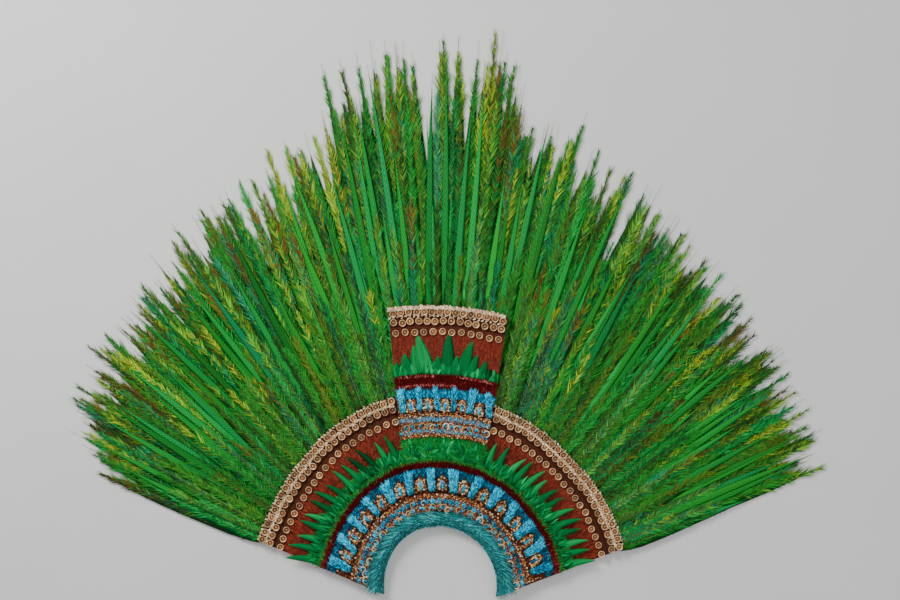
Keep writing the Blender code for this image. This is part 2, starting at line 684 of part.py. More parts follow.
def build_panel(materials, parent):
    """The raised panel repeats the crown's bands on a stiff wedge that stands over the crest's quills."""
    base = [
        (PANEL_FOOT_RADIUS, PANEL_FLOOR),
        (PANEL_HEAD_RADIUS, PANEL_FLOOR),
        (PANEL_HEAD_RADIUS, PANEL_FLOOR + PANEL_BASE_THICKNESS),
        (PANEL_FOOT_RADIUS, PANEL_FLOOR + PANEL_BASE_THICKNESS),
    ]
    floor = PANEL_BAND_FLOOR
    top = floor + PANEL_BAND_THICKNESS
    red_top = floor + PANEL_RED_HEIGHT
    mosaic = flat_profile(PANEL_FOOT_RADIUS, PANEL_MOSAIC_OUTER, floor, top)
    blue = flat_profile(PANEL_MOSAIC_OUTER, PANEL_BLUE_OUTER, floor, top)
    red = crowned_profile(PANEL_BLUE_OUTER, PANEL_RED_OUTER, floor, red_top, PANEL_RED_SHOULDER)
    rust = flat_profile(PANEL_GREEN_OUTER, PANEL_RUST_OUTER, floor, floor + PANEL_RUST_THICKNESS)
    strip = flat_profile(PANEL_RUST_OUTER, PANEL_STRIP_OUTER, floor, top)
    rim = flat_profile(PANEL_STRIP_OUTER, PANEL_HEAD_RADIUS, floor, top)
    made = {}
    for name, profile, finish in (
        ("panel_base", base, "backing"),
        ("panel_mosaic_band", mosaic, "gold"),
        ("panel_blue_band", blue, "blue_feather"),
        ("panel_red_fringe", red, "red_feather"),
        ("panel_rust_band", rust, "rust_feather"),
        ("panel_brown_strip", strip, "brown_strip"),
        ("panel_gold_rim", rim, "gold"),
    ):
        shape = swept_shape(panel_stations(), profile, panel_point)
        made[name] = add_object(name, shape, materials[finish], parent)

    strip_radius = PANEL_RUST_OUTER + STRIP_DISC_PLACE * PANEL_STRIP_WIDTH
    rim_radius = PANEL_STRIP_OUTER + (1 - RIM_DISC_PLACE) * PANEL_RIM_WIDTH
    for host, radius, count in (
        ("panel_brown_strip", strip_radius, PANEL_STRIP_DISCS),
        ("panel_gold_rim", rim_radius, PANEL_RIM_DISCS),
    ):
        share = 1 - (DISC_RADIUS + PANEL_DISC_MARGIN) / PANEL_HEAD_HALF_WIDTH
        centres = [panel_point(across, radius, top) for across in spread(-share, share, count - 1)]
        discs = add_object(host + "_discs", disc_field(centres), materials["gold"], parent)
        fuse(made[host], discs)
    build_panel_tufts(made["panel_blue_band"], top, materials, parent)
    build_panel_points(top, materials, parent)


def build_panel_tufts(band, top, materials, parent):
    inner = PANEL_MOSAIC_OUTER + TUFT_FOOT_PLACE * PANEL_BLUE_WIDTH
    outer = PANEL_MOSAIC_OUTER + TUFT_HEAD_PLACE * PANEL_BLUE_WIDTH
    share = 1 - (PANEL_TUFT_WIDTH / 2 + PANEL_DISC_MARGIN) / PANEL_FOOT_HALF_WIDTH
    places = spread(-share, share, PANEL_TUFT_COUNT - 1)
    placings = [
        (panel_point(at, inner, top), panel_point(at, outer, top), PANEL_TUFT_WIDTH, PANEL_TUFT_HEIGHT)
        for at in places
    ]
    fuse(band, add_object("panel_blue_band_tufts", tuft_field(placings), materials["blue_feather"], parent))
    for number, (low, high) in enumerate(zip(places, places[1:]), 1):
        middle = (low + high) / 2
        foot = panel_point(middle, inner, top + LAY_GAP)
        outward = (panel_point(middle, outer, top + LAY_GAP) - foot).normalized()
        shape = step_shape(foot, outward, PANEL_STEP_SHARE)
        add_object(f"panel_gold_step_{number}", shape, materials["gold"], parent)


def build_panel_points(top, materials, parent):
    """The panel's green feathers: tall points round its middle, lower ones towards both edges."""
    lap = PANEL_BAND_FLOOR + PANEL_RUST_THICKNESS + LAY_GAP
    boundaries = spread(-1.0, 1.0, PANEL_GREEN_POINTS)
    plate = [
        PlateRow(lambda across: PANEL_RED_OUTER + 2 * LAY_GAP, top, top, PANEL_BAND_FLOOR),
        PlateRow(
            lambda across: PANEL_GREEN_OUTER - 2 * LAP_CLEARANCE,
            top,
            top - PANEL_POINT_VALLEY,
            PANEL_BAND_FLOOR,
        ),
        PlateRow(
            lambda across: PANEL_GREEN_OUTER - LAP_CLEARANCE,
            lap + PANEL_POINT_THICKNESS,
            lap + PANEL_POINT_VALLEY,
            lap,
        ),
    ]
    lengths = [PANEL_GREEN_OUTER + PANEL_POINT_LENGTH * share for share in PANEL_POINT_LENGTHS]
    shape = comb_shape(boundaries, plate, POINT_SECTIONS, POINT_TIP, lengths, panel_point)
    add_object("panel_green_band", shape, materials["green_feather"], parent)


def build_fan(name, right, left, locks, outline, full_reach, materials, parent):
    """Long plumes in locks: their quills are bound in a head on the base, the blades lie beyond the rim."""
    boundaries = spread(right, left, locks)
    ridge = PLUME_RIDGE_HEIGHT
    valley = ridge * PLUME_VALLEY_SHARE
    head_top = CROWN_FLOOR + QUILL_HEAD_THICKNESS
    foot = RIM_OUTER + FAN_FOOT_CLEARANCE

    def outer(direction):
        return full_reach * interpolate(outline, (direction - right) / (left - right))

    def at_share(share):
        return lambda direction: crown_reach(direction, foot) * (1 - share) + outer(direction) * share

    plate = [
        PlateRow(lambda at: crown_reach(at, RIM_OUTER - QUILL_HEAD_WIDTH), head_top, head_top, CROWN_FLOOR),
        PlateRow(lambda at: crown_reach(at, foot), head_top, head_top, CROWN_FLOOR),
        PlateRow(lambda at: crown_reach(at, foot + 2 * LAY_GAP), head_top, head_top, 0.0),
        PlateRow(at_share(PLUME_RISE_SHARE), ridge, valley, 0.0),
        PlateRow(at_share(PLUME_SPLIT_SHARE), ridge * PLUME_SPLIT_HEIGHT, valley * PLUME_SPLIT_HEIGHT, 0.0),
    ]
    lengths = []
    for index, (low, high) in enumerate(zip(boundaries, boundaries[1:])):
        middle = (low + high) / 2
        split = plate[-1].reach(middle)
        lengths.append(split + (outer(middle) - split) * LOCK_LENGTHS[index % len(LOCK_LENGTHS)])
    shape = comb_shape(boundaries, plate, LOCK_SECTIONS, LOCK_TIP, lengths, pivot_point)
    add_object(name, shape, materials["plume"], parent)


def centre_on_origin(parent):
    """Moves the headdress so that the middle of its box is over the origin, with its back at height 0."""
    bpy.context.view_layer.update()
    graph = bpy.context.evaluated_depsgraph_get()
    corners = []
    for child in parent.children:
        if not child.hide_render:
            evaluated = child.evaluated_get(graph)
            corners += [evaluated.matrix_world @ Vector(corner) for corner in evaluated.bound_box]
    low = [min(corner[axis] for corner in corners) for axis in range(3)]
    high = [max(corner[axis] for corner in corners) for axis in range(3)]
    parent.location = (-(low[0] + high[0]) / 2, -(low[1] + high[1]) / 2, -low[2])


def main():
    clear_scene()
    materials = make_materials()
    headdress = bpy.data.objects.new("headdress", None)
    bpy.context.scene.collection.objects.link(headdress)
    build_crown_base(materials, headdress)
    build_edge_roll(materials, headdress)
    build_plain_bands(materials, headdress)
    build_blue_band(materials, headdress)
    build_green_band(materials, headdress)
    build_brown_strip(materials, headdress)
    build_gold_rim(materials, headdress)
    build_panel(materials, headdress)
    right_end = CREST_RIGHT_DIRECTION - FAN_SIDE_GAP
    left_end = CREST_LEFT_DIRECTION + FAN_SIDE_GAP
    for name, right, left, locks, outline, reach in (
        ("fan_right", RIGHT_FOOT_DIRECTION, right_end, SIDE_LOCKS, RIGHT_OUTLINE, SIDE_REACH),
        ("fan_crest", CREST_RIGHT_DIRECTION, CREST_LEFT_DIRECTION, CREST_LOCKS, CREST_OUTLINE, CREST_REACH),
        ("fan_left", left_end, LEFT_FOOT_DIRECTION, SIDE_LOCKS, LEFT_OUTLINE, SIDE_REACH),
    ):
        build_fan(name, right, left, locks, outline, reach, materials, headdress)
    centre_on_origin(headdress)


main()
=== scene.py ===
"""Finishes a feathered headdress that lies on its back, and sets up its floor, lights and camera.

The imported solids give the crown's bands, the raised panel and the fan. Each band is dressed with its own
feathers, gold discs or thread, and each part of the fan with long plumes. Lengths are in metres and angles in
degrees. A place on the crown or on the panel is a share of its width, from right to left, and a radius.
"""

import json
import logging
import math
from collections.abc import Callable, Iterator
from contextlib import contextmanager
from dataclasses import dataclass
from enum import Enum

import bpy
import numpy as np
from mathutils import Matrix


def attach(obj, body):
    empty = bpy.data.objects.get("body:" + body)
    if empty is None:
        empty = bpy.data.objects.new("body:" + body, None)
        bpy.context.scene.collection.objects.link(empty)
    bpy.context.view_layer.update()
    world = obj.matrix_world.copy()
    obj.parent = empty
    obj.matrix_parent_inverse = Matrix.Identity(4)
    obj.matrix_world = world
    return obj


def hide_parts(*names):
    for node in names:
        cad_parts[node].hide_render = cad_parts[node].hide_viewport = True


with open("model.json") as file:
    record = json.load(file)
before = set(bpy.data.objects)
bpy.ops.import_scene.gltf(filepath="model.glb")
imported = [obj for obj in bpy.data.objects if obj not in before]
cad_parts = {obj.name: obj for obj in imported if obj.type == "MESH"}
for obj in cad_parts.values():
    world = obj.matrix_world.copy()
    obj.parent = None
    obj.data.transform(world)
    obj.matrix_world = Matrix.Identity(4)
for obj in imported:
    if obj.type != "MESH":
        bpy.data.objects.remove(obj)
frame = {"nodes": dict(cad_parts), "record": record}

LOG = logging.getLogger("headdress")
BODY = "root"
UP = np.array((0.0, 0.0, 1.0))


class Side(Enum):
    """The three parts of the fan, each named for its solid."""

    LEFT = "fan_left"
    CREST = "fan_crest"
    RIGHT = "fan_right"


def stretch(low: float, high: float, count: int) -> np.ndarray:
    """Evenly spaced values from low to high, both ends included."""
    return np.linspace(low, high, count)


def unit(vectors: np.ndarray) -> np.ndarray:
    """Vectors brought to length one, row by row."""
    return vectors / np.linalg.norm(vectors, axis=-1, keepdims=True)


def left_of(vectors: np.ndarray) -> np.ndarray:
    """Vectors turned a quarter turn to the left in the plane of the table."""
    return np.stack((-vectors[..., 1], vectors[..., 0], np.zeros(vectors.shape[:-1])), axis=-1)


def turned(vectors: np.ndarray, degrees: np.ndarray) -> np.ndarray:
    """Vectors turned to the left by so many degrees in the plane of the table."""
    angle = np.radians(degrees)[..., None]
    return vectors * np.cos(angle) + left_of(vectors) * np.sin(angle)


def ramped(values: np.ndarray, start: float, end: float) -> np.ndarray:
    """Values as shares of the way from start to end, kept between 0 and 1."""
    return np.clip((values - start) / (end - start), 0, 1)


class Surface:
    """What the crown and the panel have in common: a place is a share of the width and a radius."""

    way_step = 0.001
    width_steps = 120

    def spot(self, share: np.ndarray, radius: np.ndarray, height: np.ndarray) -> np.ndarray:
        """Points at these shares, radii and heights."""
        raise NotImplementedError

    def way(self, share: np.ndarray, radius: np.ndarray) -> np.ndarray:
        """Unit vectors outwards, along the surface's own rays."""
        return unit(self.spot(share, radius + self.way_step, 0.0) - self.spot(share, radius, 0.0))

    def width(self, radius: float) -> float:
        """Length of the arc from the right edge to the left at a radius."""
        spots = self.spot(stretch(0.0, 1.0, self.width_steps), radius, 0.0)
        return float(np.linalg.norm(np.diff(spots, axis=0), axis=1).sum())


@dataclass(frozen=True)
class Crown(Surface):
    """The crown's measures, which the solids follow too.

    Radii are counted from the centre of the head arch, band by band outwards. Directions are seen from a pivot
    below that centre, where the crown's two straight ends meet.
    """

    centre: tuple[float, float]
    pivot_drop: float = 0.080
    right_foot: float = 20.8
    left_foot: float = 157.0
    panel_right: float = 75.5
    panel_left: float = 101.6
    arch: float = 0.133
    edge_outer: float = 0.168
    mosaic_outer: float = 0.210
    blue_outer: float = 0.268
    red_outer: float = 0.283
    green_outer: float = 0.317
    rust_outer: float = 0.370
    strip_outer: float = 0.399
    rim_outer: float = 0.438
    end_margin: float = 0.006
    sway_places: tuple[float, ...] = (0.00, 0.10, 0.22, 0.34, 0.43, 0.50, 0.62, 0.72, 0.82, 0.92, 1.00)
    sway_scales: tuple[float, ...] = (
        1.0, 0.985, 0.969, 0.984, 0.998, 1.012, 1.027, 1.010, 0.990, 0.986, 1.0
    )

    def reach(self, direction: np.ndarray, radius: np.ndarray) -> np.ndarray:
        """How far from the pivot a ray meets the crown's circle of this radius.

        Args:
            direction: degrees from +X, seen from the pivot.
            radius: distance from the centre of the arch before the rim's sway.

        Returns:
            Distances from the pivot.
        """
        across = np.clip((direction - self.right_foot) / (self.left_foot - self.right_foot), 0.0, 1.0)
        index = np.clip(np.searchsorted(self.sway_places, across) - 1, 0, len(self.sway_places) - 2)
        places, scales = np.array(self.sway_places), np.array(self.sway_scales)
        share = (across - places[index]) / (places[index + 1] - places[index])
        eased = share * share * (3 - 2 * share)
        swayed = radius * (scales[index] + (scales[index + 1] - scales[index]) * eased)
        angle = np.radians(direction)
        return self.pivot_drop * np.sin(angle) + np.sqrt(swayed**2 - (self.pivot_drop * np.cos(angle)) ** 2)

    def point(self, direction: np.ndarray, radius: np.ndarray, height: np.ndarray) -> np.ndarray:
        """Points on the crown.

        Args:
            direction: degrees from +X, seen from the pivot.
            radius: distance from the centre of the arch.
            height: height over the table.

        Returns:
            The points.
        """
        direction, radius, height = np.broadcast_arrays(direction, radius, height)
        reach, angle = self.reach(direction, radius), np.radians(direction)
        x = self.centre[0] + reach * np.cos(angle)
        y = self.centre[1] + reach * np.sin(angle) - self.pivot_drop
        return np.stack((x, y, height), axis=-1)

    def arc_angle(self, direction: np.ndarray, radius: np.ndarray) -> np.ndarray:
        """Turns directions from the pivot into angles round the centre of the arch.

        Args:
            direction: degrees from +X, seen from the pivot.
            radius: distance from the centre of the arch.

        Returns:
            Angles in radians, running on below the left foot.
        """
        spots = self.point(direction, radius, 0.0) - (*self.centre, 0.0)
        angle = np.arctan2(spots[..., 1], spots[..., 0])
        return np.where(angle < -math.pi / 2, angle + 2 * math.pi, angle)

    def share(self, direction: float, radius: float) -> float:
        """The share of the crown's width at which a direction from the pivot meets a radius."""
        right, here, left = self.arc_angle(np.array((self.right_foot, direction, self.left_foot)), radius)
        return float((here - right) / (left - right))

    def spot(self, share: np.ndarray, radius: np.ndarray, height: np.ndarray) -> np.ndarray:
        """Points at shares of the arc.

        Args:
            share: share of the way from the right foot to the left one.
            radius: distance from the centre of the arch.
            height: height over the table.

        Returns:
            The points.
        """
        share, radius, height = np.broadcast_arrays(share, radius, height)
        right = self.arc_angle(self.right_foot, radius)
        angle = right + (self.arc_angle(self.left_foot, radius) - right) * share
        direction = np.degrees(np.arctan2(radius * np.sin(angle) + self.pivot_drop, radius * np.cos(angle)))
        return self.point(direction, radius, height)

    def sides(self, radius: float, margin: float) -> tuple:
        """The shares on both sides of the panel, this many degrees away from it."""
        right, left = self.panel_right - margin, self.panel_left + margin
        return (self.end_margin, self.share(right, radius)), (self.share(left, radius), 1 - self.end_margin)


@dataclass(frozen=True)
class Panel(Surface):
    """The raised panel's measures: radii are counted from the crown's pivot."""

    crown: Crown
    foot: float = 0.4225
    mosaic_outer: float = 0.4780
    blue_outer: float = 0.5410
    red_outer: float = 0.5660
    green_outer: float = 0.5900
    rust_outer: float = 0.6550
    strip_outer: float = 0.6835
    head: float = 0.7255
    foot_half: float = 0.1005
    head_half: float = 0.1400
    foot_shift: float = 0.0090
    head_shift: float = 0.0180
    slant: float = 0.007

    def spot(self, share: np.ndarray, radius: np.ndarray, height: np.ndarray) -> np.ndarray:
        """Points on the panel.

        Args:
            share: share of the way across it.
            radius: distance from the pivot.
            height: height over the table.

        Returns:
            The points.
        """
        share, radius, height = np.broadcast_arrays(share, radius, height)
        across = 1.0 - 2.0 * share
        rise = (radius - self.foot) / (self.head - self.foot)
        half = self.foot_half + (self.head_half - self.foot_half) * rise
        x = self.foot_shift + (self.head_shift - self.foot_shift) * rise + across * half
        reach = radius * (1 - self.slant * across)
        y = np.sqrt(reach**2 - x**2) - self.crown.pivot_drop
        return np.stack((self.crown.centre[0] + x, self.crown.centre[1] + y, height), axis=-1)


class Wire:
    """A shader socket that can be used in sums, so that node maths reads like plain maths."""

    def __init__(self, shader: "Shader", socket: bpy.types.NodeSocket) -> None:
        """Keeps the shader and the output socket."""
        self.shader, self.socket = shader, socket

    def maths(self, operation: str, other: object = 0.0) -> "Wire":
        """This value and another, joined by a Math node's operation."""
        return self.shader.node("ShaderNodeMath", 0, {"operation": operation}, self, other)

    def __add__(self, other: object) -> "Wire":
        """This value plus another."""
        return self.maths("ADD", other)

    def __sub__(self, other: object) -> "Wire":
        """This value less another."""
        return self.maths("SUBTRACT", other)

    def __rsub__(self, other: object) -> "Wire":
        """Another value less this one."""
        return self.shader.node("ShaderNodeMath", 0, {"operation": "SUBTRACT"}, other, self)

    def __mul__(self, other: object) -> "Wire":
        """This value times another."""
        return self.maths("MULTIPLY", other)

    __radd__ = __add__
    __rmul__ = __mul__

    def eased(self, low: float, high: float) -> "Wire":
        """This value eased from 0 at low to 1 at high."""
        settings = {"interpolation_type": "SMOOTHSTEP"}
        return self.shader.node("ShaderNodeMapRange", "Result", settings, self, low, high)


class Shader:
    """A material's node tree around its Principled shader."""

    def __init__(self, name: str) -> None:
        """Makes an empty material.

        Args:
            name: its name.
        """
        self.material = bpy.data.materials.new(name)
        self.material.use_nodes = True
        self.tree = self.material.node_tree
        self.surface = self.tree.nodes["Principled BSDF"]

    def feed(self, node: bpy.types.Node, *ordered: object, **named: object) -> None:
        """Links wires to a node's sockets and sets the others to plain values.

        Args:
            node: the node.
            ordered: what its first sockets get.
            named: what other sockets get, by name, with _ for a space.
        """
        sockets = [*zip(node.inputs, ordered)]
        sockets += [(node.inputs[name.replace("_", " ")], value) for name, value in named.items()]
        for socket, value in sockets:
            if isinstance(value, Wire):
                self.tree.links.new(value.socket, socket)
            else:
                socket.default_value = value

    def node(
        self, kind: str, output: object, settings: dict | None = None, *ordered: object, **named: object
    ) -> Wire:
        """Adds any node and gives one of its results.

        Args:
            kind: the node's type.
            output: name or number of the result that is wanted.
            settings: properties of the node, set first; stops are a colour ramp's stops.
            ordered: values or wires for its first sockets.
            named: values or wires for other sockets, by name, with _ for a space.

        Returns:
            The result.
        """
        made = self.tree.nodes.new(kind)
        for name, value in (settings or {}).items():
            if name == "stops":
                self.fill_ramp(made.color_ramp, value)
            else:
                setattr(made, name, value)
        self.feed(made, *ordered, **named)
        return Wire(self, made.outputs[output])

    @staticmethod
    def fill_ramp(ramp: bpy.types.ColorRamp, stops: tuple) -> None:
        """Gives a colour ramp its stops.

        Args:
            ramp: the ramp.
            stops: pairs of a place and a colour.
        """
        while len(ramp.elements) < len(stops):
            ramp.elements.new(1.0)
        for element, (place, colour) in zip(ramp.elements, stops):
            element.position = place
            element.color = (*colour, 1.0)

    def ramp(self, factor: Wire, stops: tuple) -> Wire:
        """A colour picked from stops by a factor."""
        return self.node("ShaderNodeValToRGB", "Color", {"stops": stops}, factor)

    def noise(self, scale: float, detail: float, place: Wire, roughness: float = 0.5) -> Wire:
        """Noise at this scale, read at a place."""
        shape = {"Scale": scale, "Detail": detail, "Roughness": roughness}
        return self.node("ShaderNodeTexNoise", "Fac", Vector=place, **shape)

    def place(self) -> Wire:
        """The piece's own coordinates."""
        return self.node("ShaderNodeTexCoord", "Object")

    def parts(self, vector: Wire) -> tuple[Wire, ...]:
        """The three numbers of a vector or colour."""
        split = self.node("ShaderNodeSeparateXYZ", 0, None, vector)
        return tuple(Wire(self, socket) for socket in split.socket.node.outputs)

    def tint(self) -> tuple[Wire, ...]:
        """Each copy's colour place, its light, and the pattern's own guide value at a point."""
        return self.parts(self.node("ShaderNodeAttribute", "Vector", {"attribute_name": "tint"}))

    def layout(self) -> tuple[Wire, ...]:
        """How far across and along each copy a point lies, by its UV map."""
        return self.parts(self.node("ShaderNodeUVMap", "UV", {"uv_map": "UVMap"}))

    def streaks(self, across: float, along: float, shift: Wire) -> Wire:
        """Noise drawn out along each copy.

        Args:
            across: scale across the copy.
            along: scale along it.
            shift: what moves the noise from copy to copy.

        Returns:
            The noise.
        """
        u, v, _ = self.layout()
        place = self.node("ShaderNodeCombineXYZ", "Vector", None, u * across, v * along, shift * 40.0)
        return self.noise(1.0, 2.0, place, 0.6)

    def ribs(self, along: float, slant: float) -> Wire:
        """Slanted ribs on both sides of each copy's middle line.

        Args:
            along: ribs along the copy.
            slant: ribs that a rib falls back by on its way across.

        Returns:
            From 0 between ribs to 1 on them.
        """
        u, v, _ = self.layout()
        across = (u - 0.5).maths("ABSOLUTE")
        return ((v * along - across * slant) * (2 * math.pi)).maths("SINE") * 0.5 + 0.5

    def shaded(self, colour: Wire, light: Wire) -> Wire:
        """A colour made lighter or darker by a number."""
        return self.node("ShaderNodeVectorMath", 0, {"operation": "SCALE"}, colour, Scale=light)

    def finish(self, colour: Wire, roughness: object, bump: Wire | None, depth: float, **fixed: object) -> None:
        """Joins the results to the Principled shader.

        Args:
            colour: base colour.
            roughness: roughness, a wire or a number.
            bump: height of the fine relief, or None.
            depth: depth of that relief in metres.
            fixed: values for other sockets, by name, with _ for a space.
        """
        self.feed(self.surface, Base_Color=colour, Roughness=roughness, **fixed)
        if bump is not None:
            self.feed(self.surface, Normal=self.node("ShaderNodeBump", "Normal", Height=bump, Distance=depth))


@dataclass(frozen=True)
class FeatherFinish:
    """Feathers whose colour is picked copy by copy from a few stops, darker at the root.

    Attributes:
        name: the material's name.
        stops: its colours.
        slot: what it is called in the library.
        root_shade: light at a copy's root.
        tip_light: light at its tip.
        mottle: how far the colour wanders.
        roughness: middle roughness.
        gloss: strength of its shine.
        streak: depth of the streaks along each copy.
        ribs: ribs along each copy, or 0 for none.
        patches: scale of the broad wandering of colour.
        fibres: scale of the fine fibres.
        root_end: share of a copy that its darker root takes up.
        relief: depth of the relief.
    """

    name: str
    stops: tuple
    slot: str
    root_shade: float = 0.45
    tip_light: float = 1.15
    mottle: float = 0.12
    roughness: float = 0.6
    gloss: float = 0.18
    streak: float = 0.0
    ribs: float = 0.0
    patches: float = 14.0
    fibres: float = 900.0
    root_end: float = 0.35
    relief: float = 0.0006

    def make(self) -> bpy.types.Material:
        """Builds the material.

        Returns:
            The material.
        """
        shader = Shader(self.name)
        pick, light, along = shader.tint()
        place = shader.place()
        broad = shader.noise(self.patches, 2.0, place)
        fine = shader.noise(self.fibres, 3.0, place, 0.7)
        colour = shader.ramp(pick + (broad - 0.5) * self.mottle + (fine - 0.5) * self.mottle, self.stops)
        rise = along.eased(0.0, self.root_end) * (self.tip_light - self.root_shade) + self.root_shade
        lit = rise * (light * 1.5 + 0.25) * (fine * 0.5 + 0.75)
        relief = fine
        if self.streak:
            streaks = shader.streaks(16.0, 1.2, pick)
            lit = lit * ((streaks - 0.5) * self.streak * 3.0 + 1.0)
            relief = fine * 0.4 + streaks
        if self.ribs:
            ribs = shader.ribs(self.ribs, self.ribs * 0.07)
            lit = lit * (ribs * 0.5 + 0.7)
            relief = fine * 0.3 + ribs
        rough = fine * 0.25 + (self.roughness - 0.12)
        shader.finish(shader.shaded(colour, lit), rough, relief, self.relief, Specular_IOR_Level=self.gloss)
        return shader.material


@dataclass(frozen=True)
class GoldFinish:
    """Beaten gold, coloured by the pattern's guide or copy by copy.

    Attributes:
        name: the material's name.
        stops: its colours.
        guided: share of the colour that follows the pattern's guide rather than the copy.
        metal: how metallic it is.
        slot: not used.
        roughness: middle roughness.
        beaten: scale of the dents.
        stained: scale of the stains.
        relief: depth of the dents.
    """

    name: str
    stops: tuple
    guided: float
    metal: float = 0.55
    slot: str = "gold"
    roughness: float = 0.36
    beaten: float = 420.0
    stained: float = 90.0
    relief: float = 0.0008

    def make(self) -> bpy.types.Material:
        """Builds the material.

        Returns:
            The material.
        """
        shader = Shader(self.name)
        pick, light, along = shader.tint()
        place = shader.place()
        dents = shader.noise(self.beaten, 2.0, place)
        stain = shader.noise(self.stained, 4.0, place, 0.65)
        mask = along * self.guided + pick * (1.0 - self.guided) + (stain - 0.5) * 0.35
        lit = shader.shaded(shader.ramp(mask, self.stops), light * 1.2 + 0.38)
        rough = stain * 0.3 + (self.roughness - 0.12)
        shader.finish(lit, rough, dents, self.relief, Metallic=self.metal)
        return shader.material


@dataclass(frozen=True)
class NetFinish:
    """Knotted plant-fibre net over a plain backing, or the close weave of a strip.

    Attributes:
        name: the material's name.
        thread: colour of its threads.
        gap: colour between them.
        slot: not used.
        mesh_size: distance between threads.
        roughness: middle roughness.
        fibres: scale of the threads' fibres.
        gloss: strength of its shine.
        relief: depth of the weave.
    """

    name: str
    thread: tuple
    gap: tuple
    slot: str
    mesh_size: float = 0.006
    roughness: float = 0.85
    fibres: float = 500.0
    gloss: float = 0.12
    relief: float = 0.0012

    def make(self) -> bpy.types.Material:
        """Builds the material.

        Returns:
            The material.
        """
        shader = Shader(self.name)
        place = shader.place()
        shape = {"Scale": 0.314 / self.mesh_size, "Distortion": 1.2, "Detail": 1.0, "Detail_Scale": 2.0}
        upright, level = (
            shader.node("ShaderNodeTexWave", "Fac", {"bands_direction": axis}, Vector=place, **shape)
            for axis in "XY"
        )
        weave = upright.maths("MAXIMUM", level)
        fibre = shader.noise(self.fibres, 3.0, place, 0.7)
        colour = shader.ramp(weave * 0.8 + fibre * 0.3, ((0.35, self.gap), (0.85, self.thread)))
        rough = fibre * 0.2 + (self.roughness - 0.1)
        shader.finish(colour, rough, weave + fibre * 0.4, self.relief, Specular_IOR_Level=self.gloss)
        return shader.material


@dataclass(frozen=True)
class StageFinish:
    """The pale floor's plain paint."""

    name: str = "pale_floor"
    colour: tuple = (0.80, 0.79, 0.77)
    lighter: tuple = (0.824, 0.8137, 0.7931)
    roughness: float = 0.9

    def make(self) -> bpy.types.Material:
        """Builds the material.

        Returns:
            The material.
        """
        shader = Shader(self.name)
        grain = shader.noise(3.0, 2.0, shader.place())
        shader.finish(shader.ramp(grain, ((0.3, self.colour), (0.7, self.lighter))), self.roughness, None, 0.0)
        return shader.material


Finish = FeatherFinish | GoldFinish | NetFinish

PLUME_STOPS = (
    (0.00, (0.022, 0.008, 0.003)), (0.10, (0.180, 0.050, 0.004)), (0.22, (0.120, 0.125, 0.004)),
    (0.36, (0.030, 0.160, 0.006)), (0.50, (0.004, 0.215, 0.012)), (0.64, (0.001, 0.270, 0.040)),
    (0.76, (0.001, 0.160, 0.080)), (0.88, (0.110, 0.360, 0.010)), (1.00, (0.320, 0.400, 0.008)),
)
PLUMES = FeatherFinish("plume_green", PLUME_STOPS, "plume", root_shade=0.7, mottle=0.08, roughness=0.5)
BLADES = FeatherFinish(
    "plume_blade", PLUME_STOPS, "plume", root_shade=0.8, tip_light=1.1, mottle=0.06, roughness=0.45, ribs=55.0
)
QUILLS = FeatherFinish(
    "quill", ((0.0, (0.05, 0.045, 0.008)), (0.6, (0.11, 0.14, 0.020)), (1.0, (0.30, 0.32, 0.12))),
    "plume", root_shade=0.7, roughness=0.45,
)
LEAF_GREEN = FeatherFinish(
    "leaf_green", ((0.0, (0.001, 0.090, 0.018)), (0.5, (0.001, 0.230, 0.052)), (1.0, (0.006, 0.420, 0.120))),
    "green_feather", root_shade=0.65, mottle=0.08, gloss=0.08, streak=0.6,
)
DOWN_GREEN = FeatherFinish(
    "down_green",
    (
        (0.00, (0.001, 0.070, 0.010)), (0.50, (0.002, 0.230, 0.030)), (0.80, (0.016, 0.400, 0.045)),
        (0.93, (0.12, 0.26, 0.012)), (1.00, (0.34, 0.12, 0.008)),
    ),
    "green_feather", root_shade=0.45,
)
RUST = FeatherFinish(
    "rust_red", ((0.0, (0.110, 0.010, 0.004)), (0.5, (0.225, 0.024, 0.008)), (1.0, (0.330, 0.050, 0.016))),
    "rust_feather", root_shade=0.8, tip_light=1.0, mottle=0.10, streak=0.3,
)
DARK_RED = FeatherFinish(
    "fringe_red",
    (
        (0.0, (0.016, 0.001, 0.001)), (0.6, (0.105, 0.002, 0.003)), (0.8, (0.28, 0.016, 0.014)),
        (1.0, (0.72, 0.24, 0.20)),
    ),
    "red_feather", root_shade=0.5, gloss=0.06,
)
TUFT_BLUE = FeatherFinish(
    "tuft_blue",
    (
        (0.0, (0.002, 0.040, 0.080)), (0.35, (0.003, 0.165, 0.280)), (0.7, (0.001, 0.480, 0.760)),
        (1.0, (0.004, 0.78, 1.00)),
    ),
    "blue_feather", root_shade=0.22, tip_light=1.2, mottle=0.10, gloss=0.08,
)
TURQUOISE = FeatherFinish(
    "edge_turquoise",
    (
        (0.0, (0.002, 0.040, 0.045)), (0.45, (0.004, 0.140, 0.140)), (0.8, (0.010, 0.330, 0.335)),
        (1.0, (0.100, 0.680, 0.660)),
    ),
    "turquoise_feather", root_shade=0.7, mottle=0.20,
)
CREAM_THREAD = FeatherFinish(
    "cream_thread", ((0.0, (0.26, 0.14, 0.07)), (0.6, (0.62, 0.42, 0.24)), (1.0, (0.92, 0.76, 0.54))),
    "gold", root_shade=0.75, roughness=0.75,
)
# Disc colours by the guide, from middle to edge: a gold knob, a painted shadow ring in the hollow, a painted
# highlight on the lip, then darker again at the outer edge.
DISC_GOLD_PAINTED_SHADING = GoldFinish(
    "disc_gold",
    (
        (0.00, (0.56, 0.31, 0.13)), (0.30, (0.40, 0.18, 0.07)), (0.52, (0.13, 0.045, 0.018)),
        (0.70, (0.40, 0.19, 0.08)), (0.80, (0.98, 0.74, 0.43)), (0.88, (0.90, 0.60, 0.29)),
        (1.00, (0.36, 0.17, 0.07)),
    ),
    guided=1.0,
)
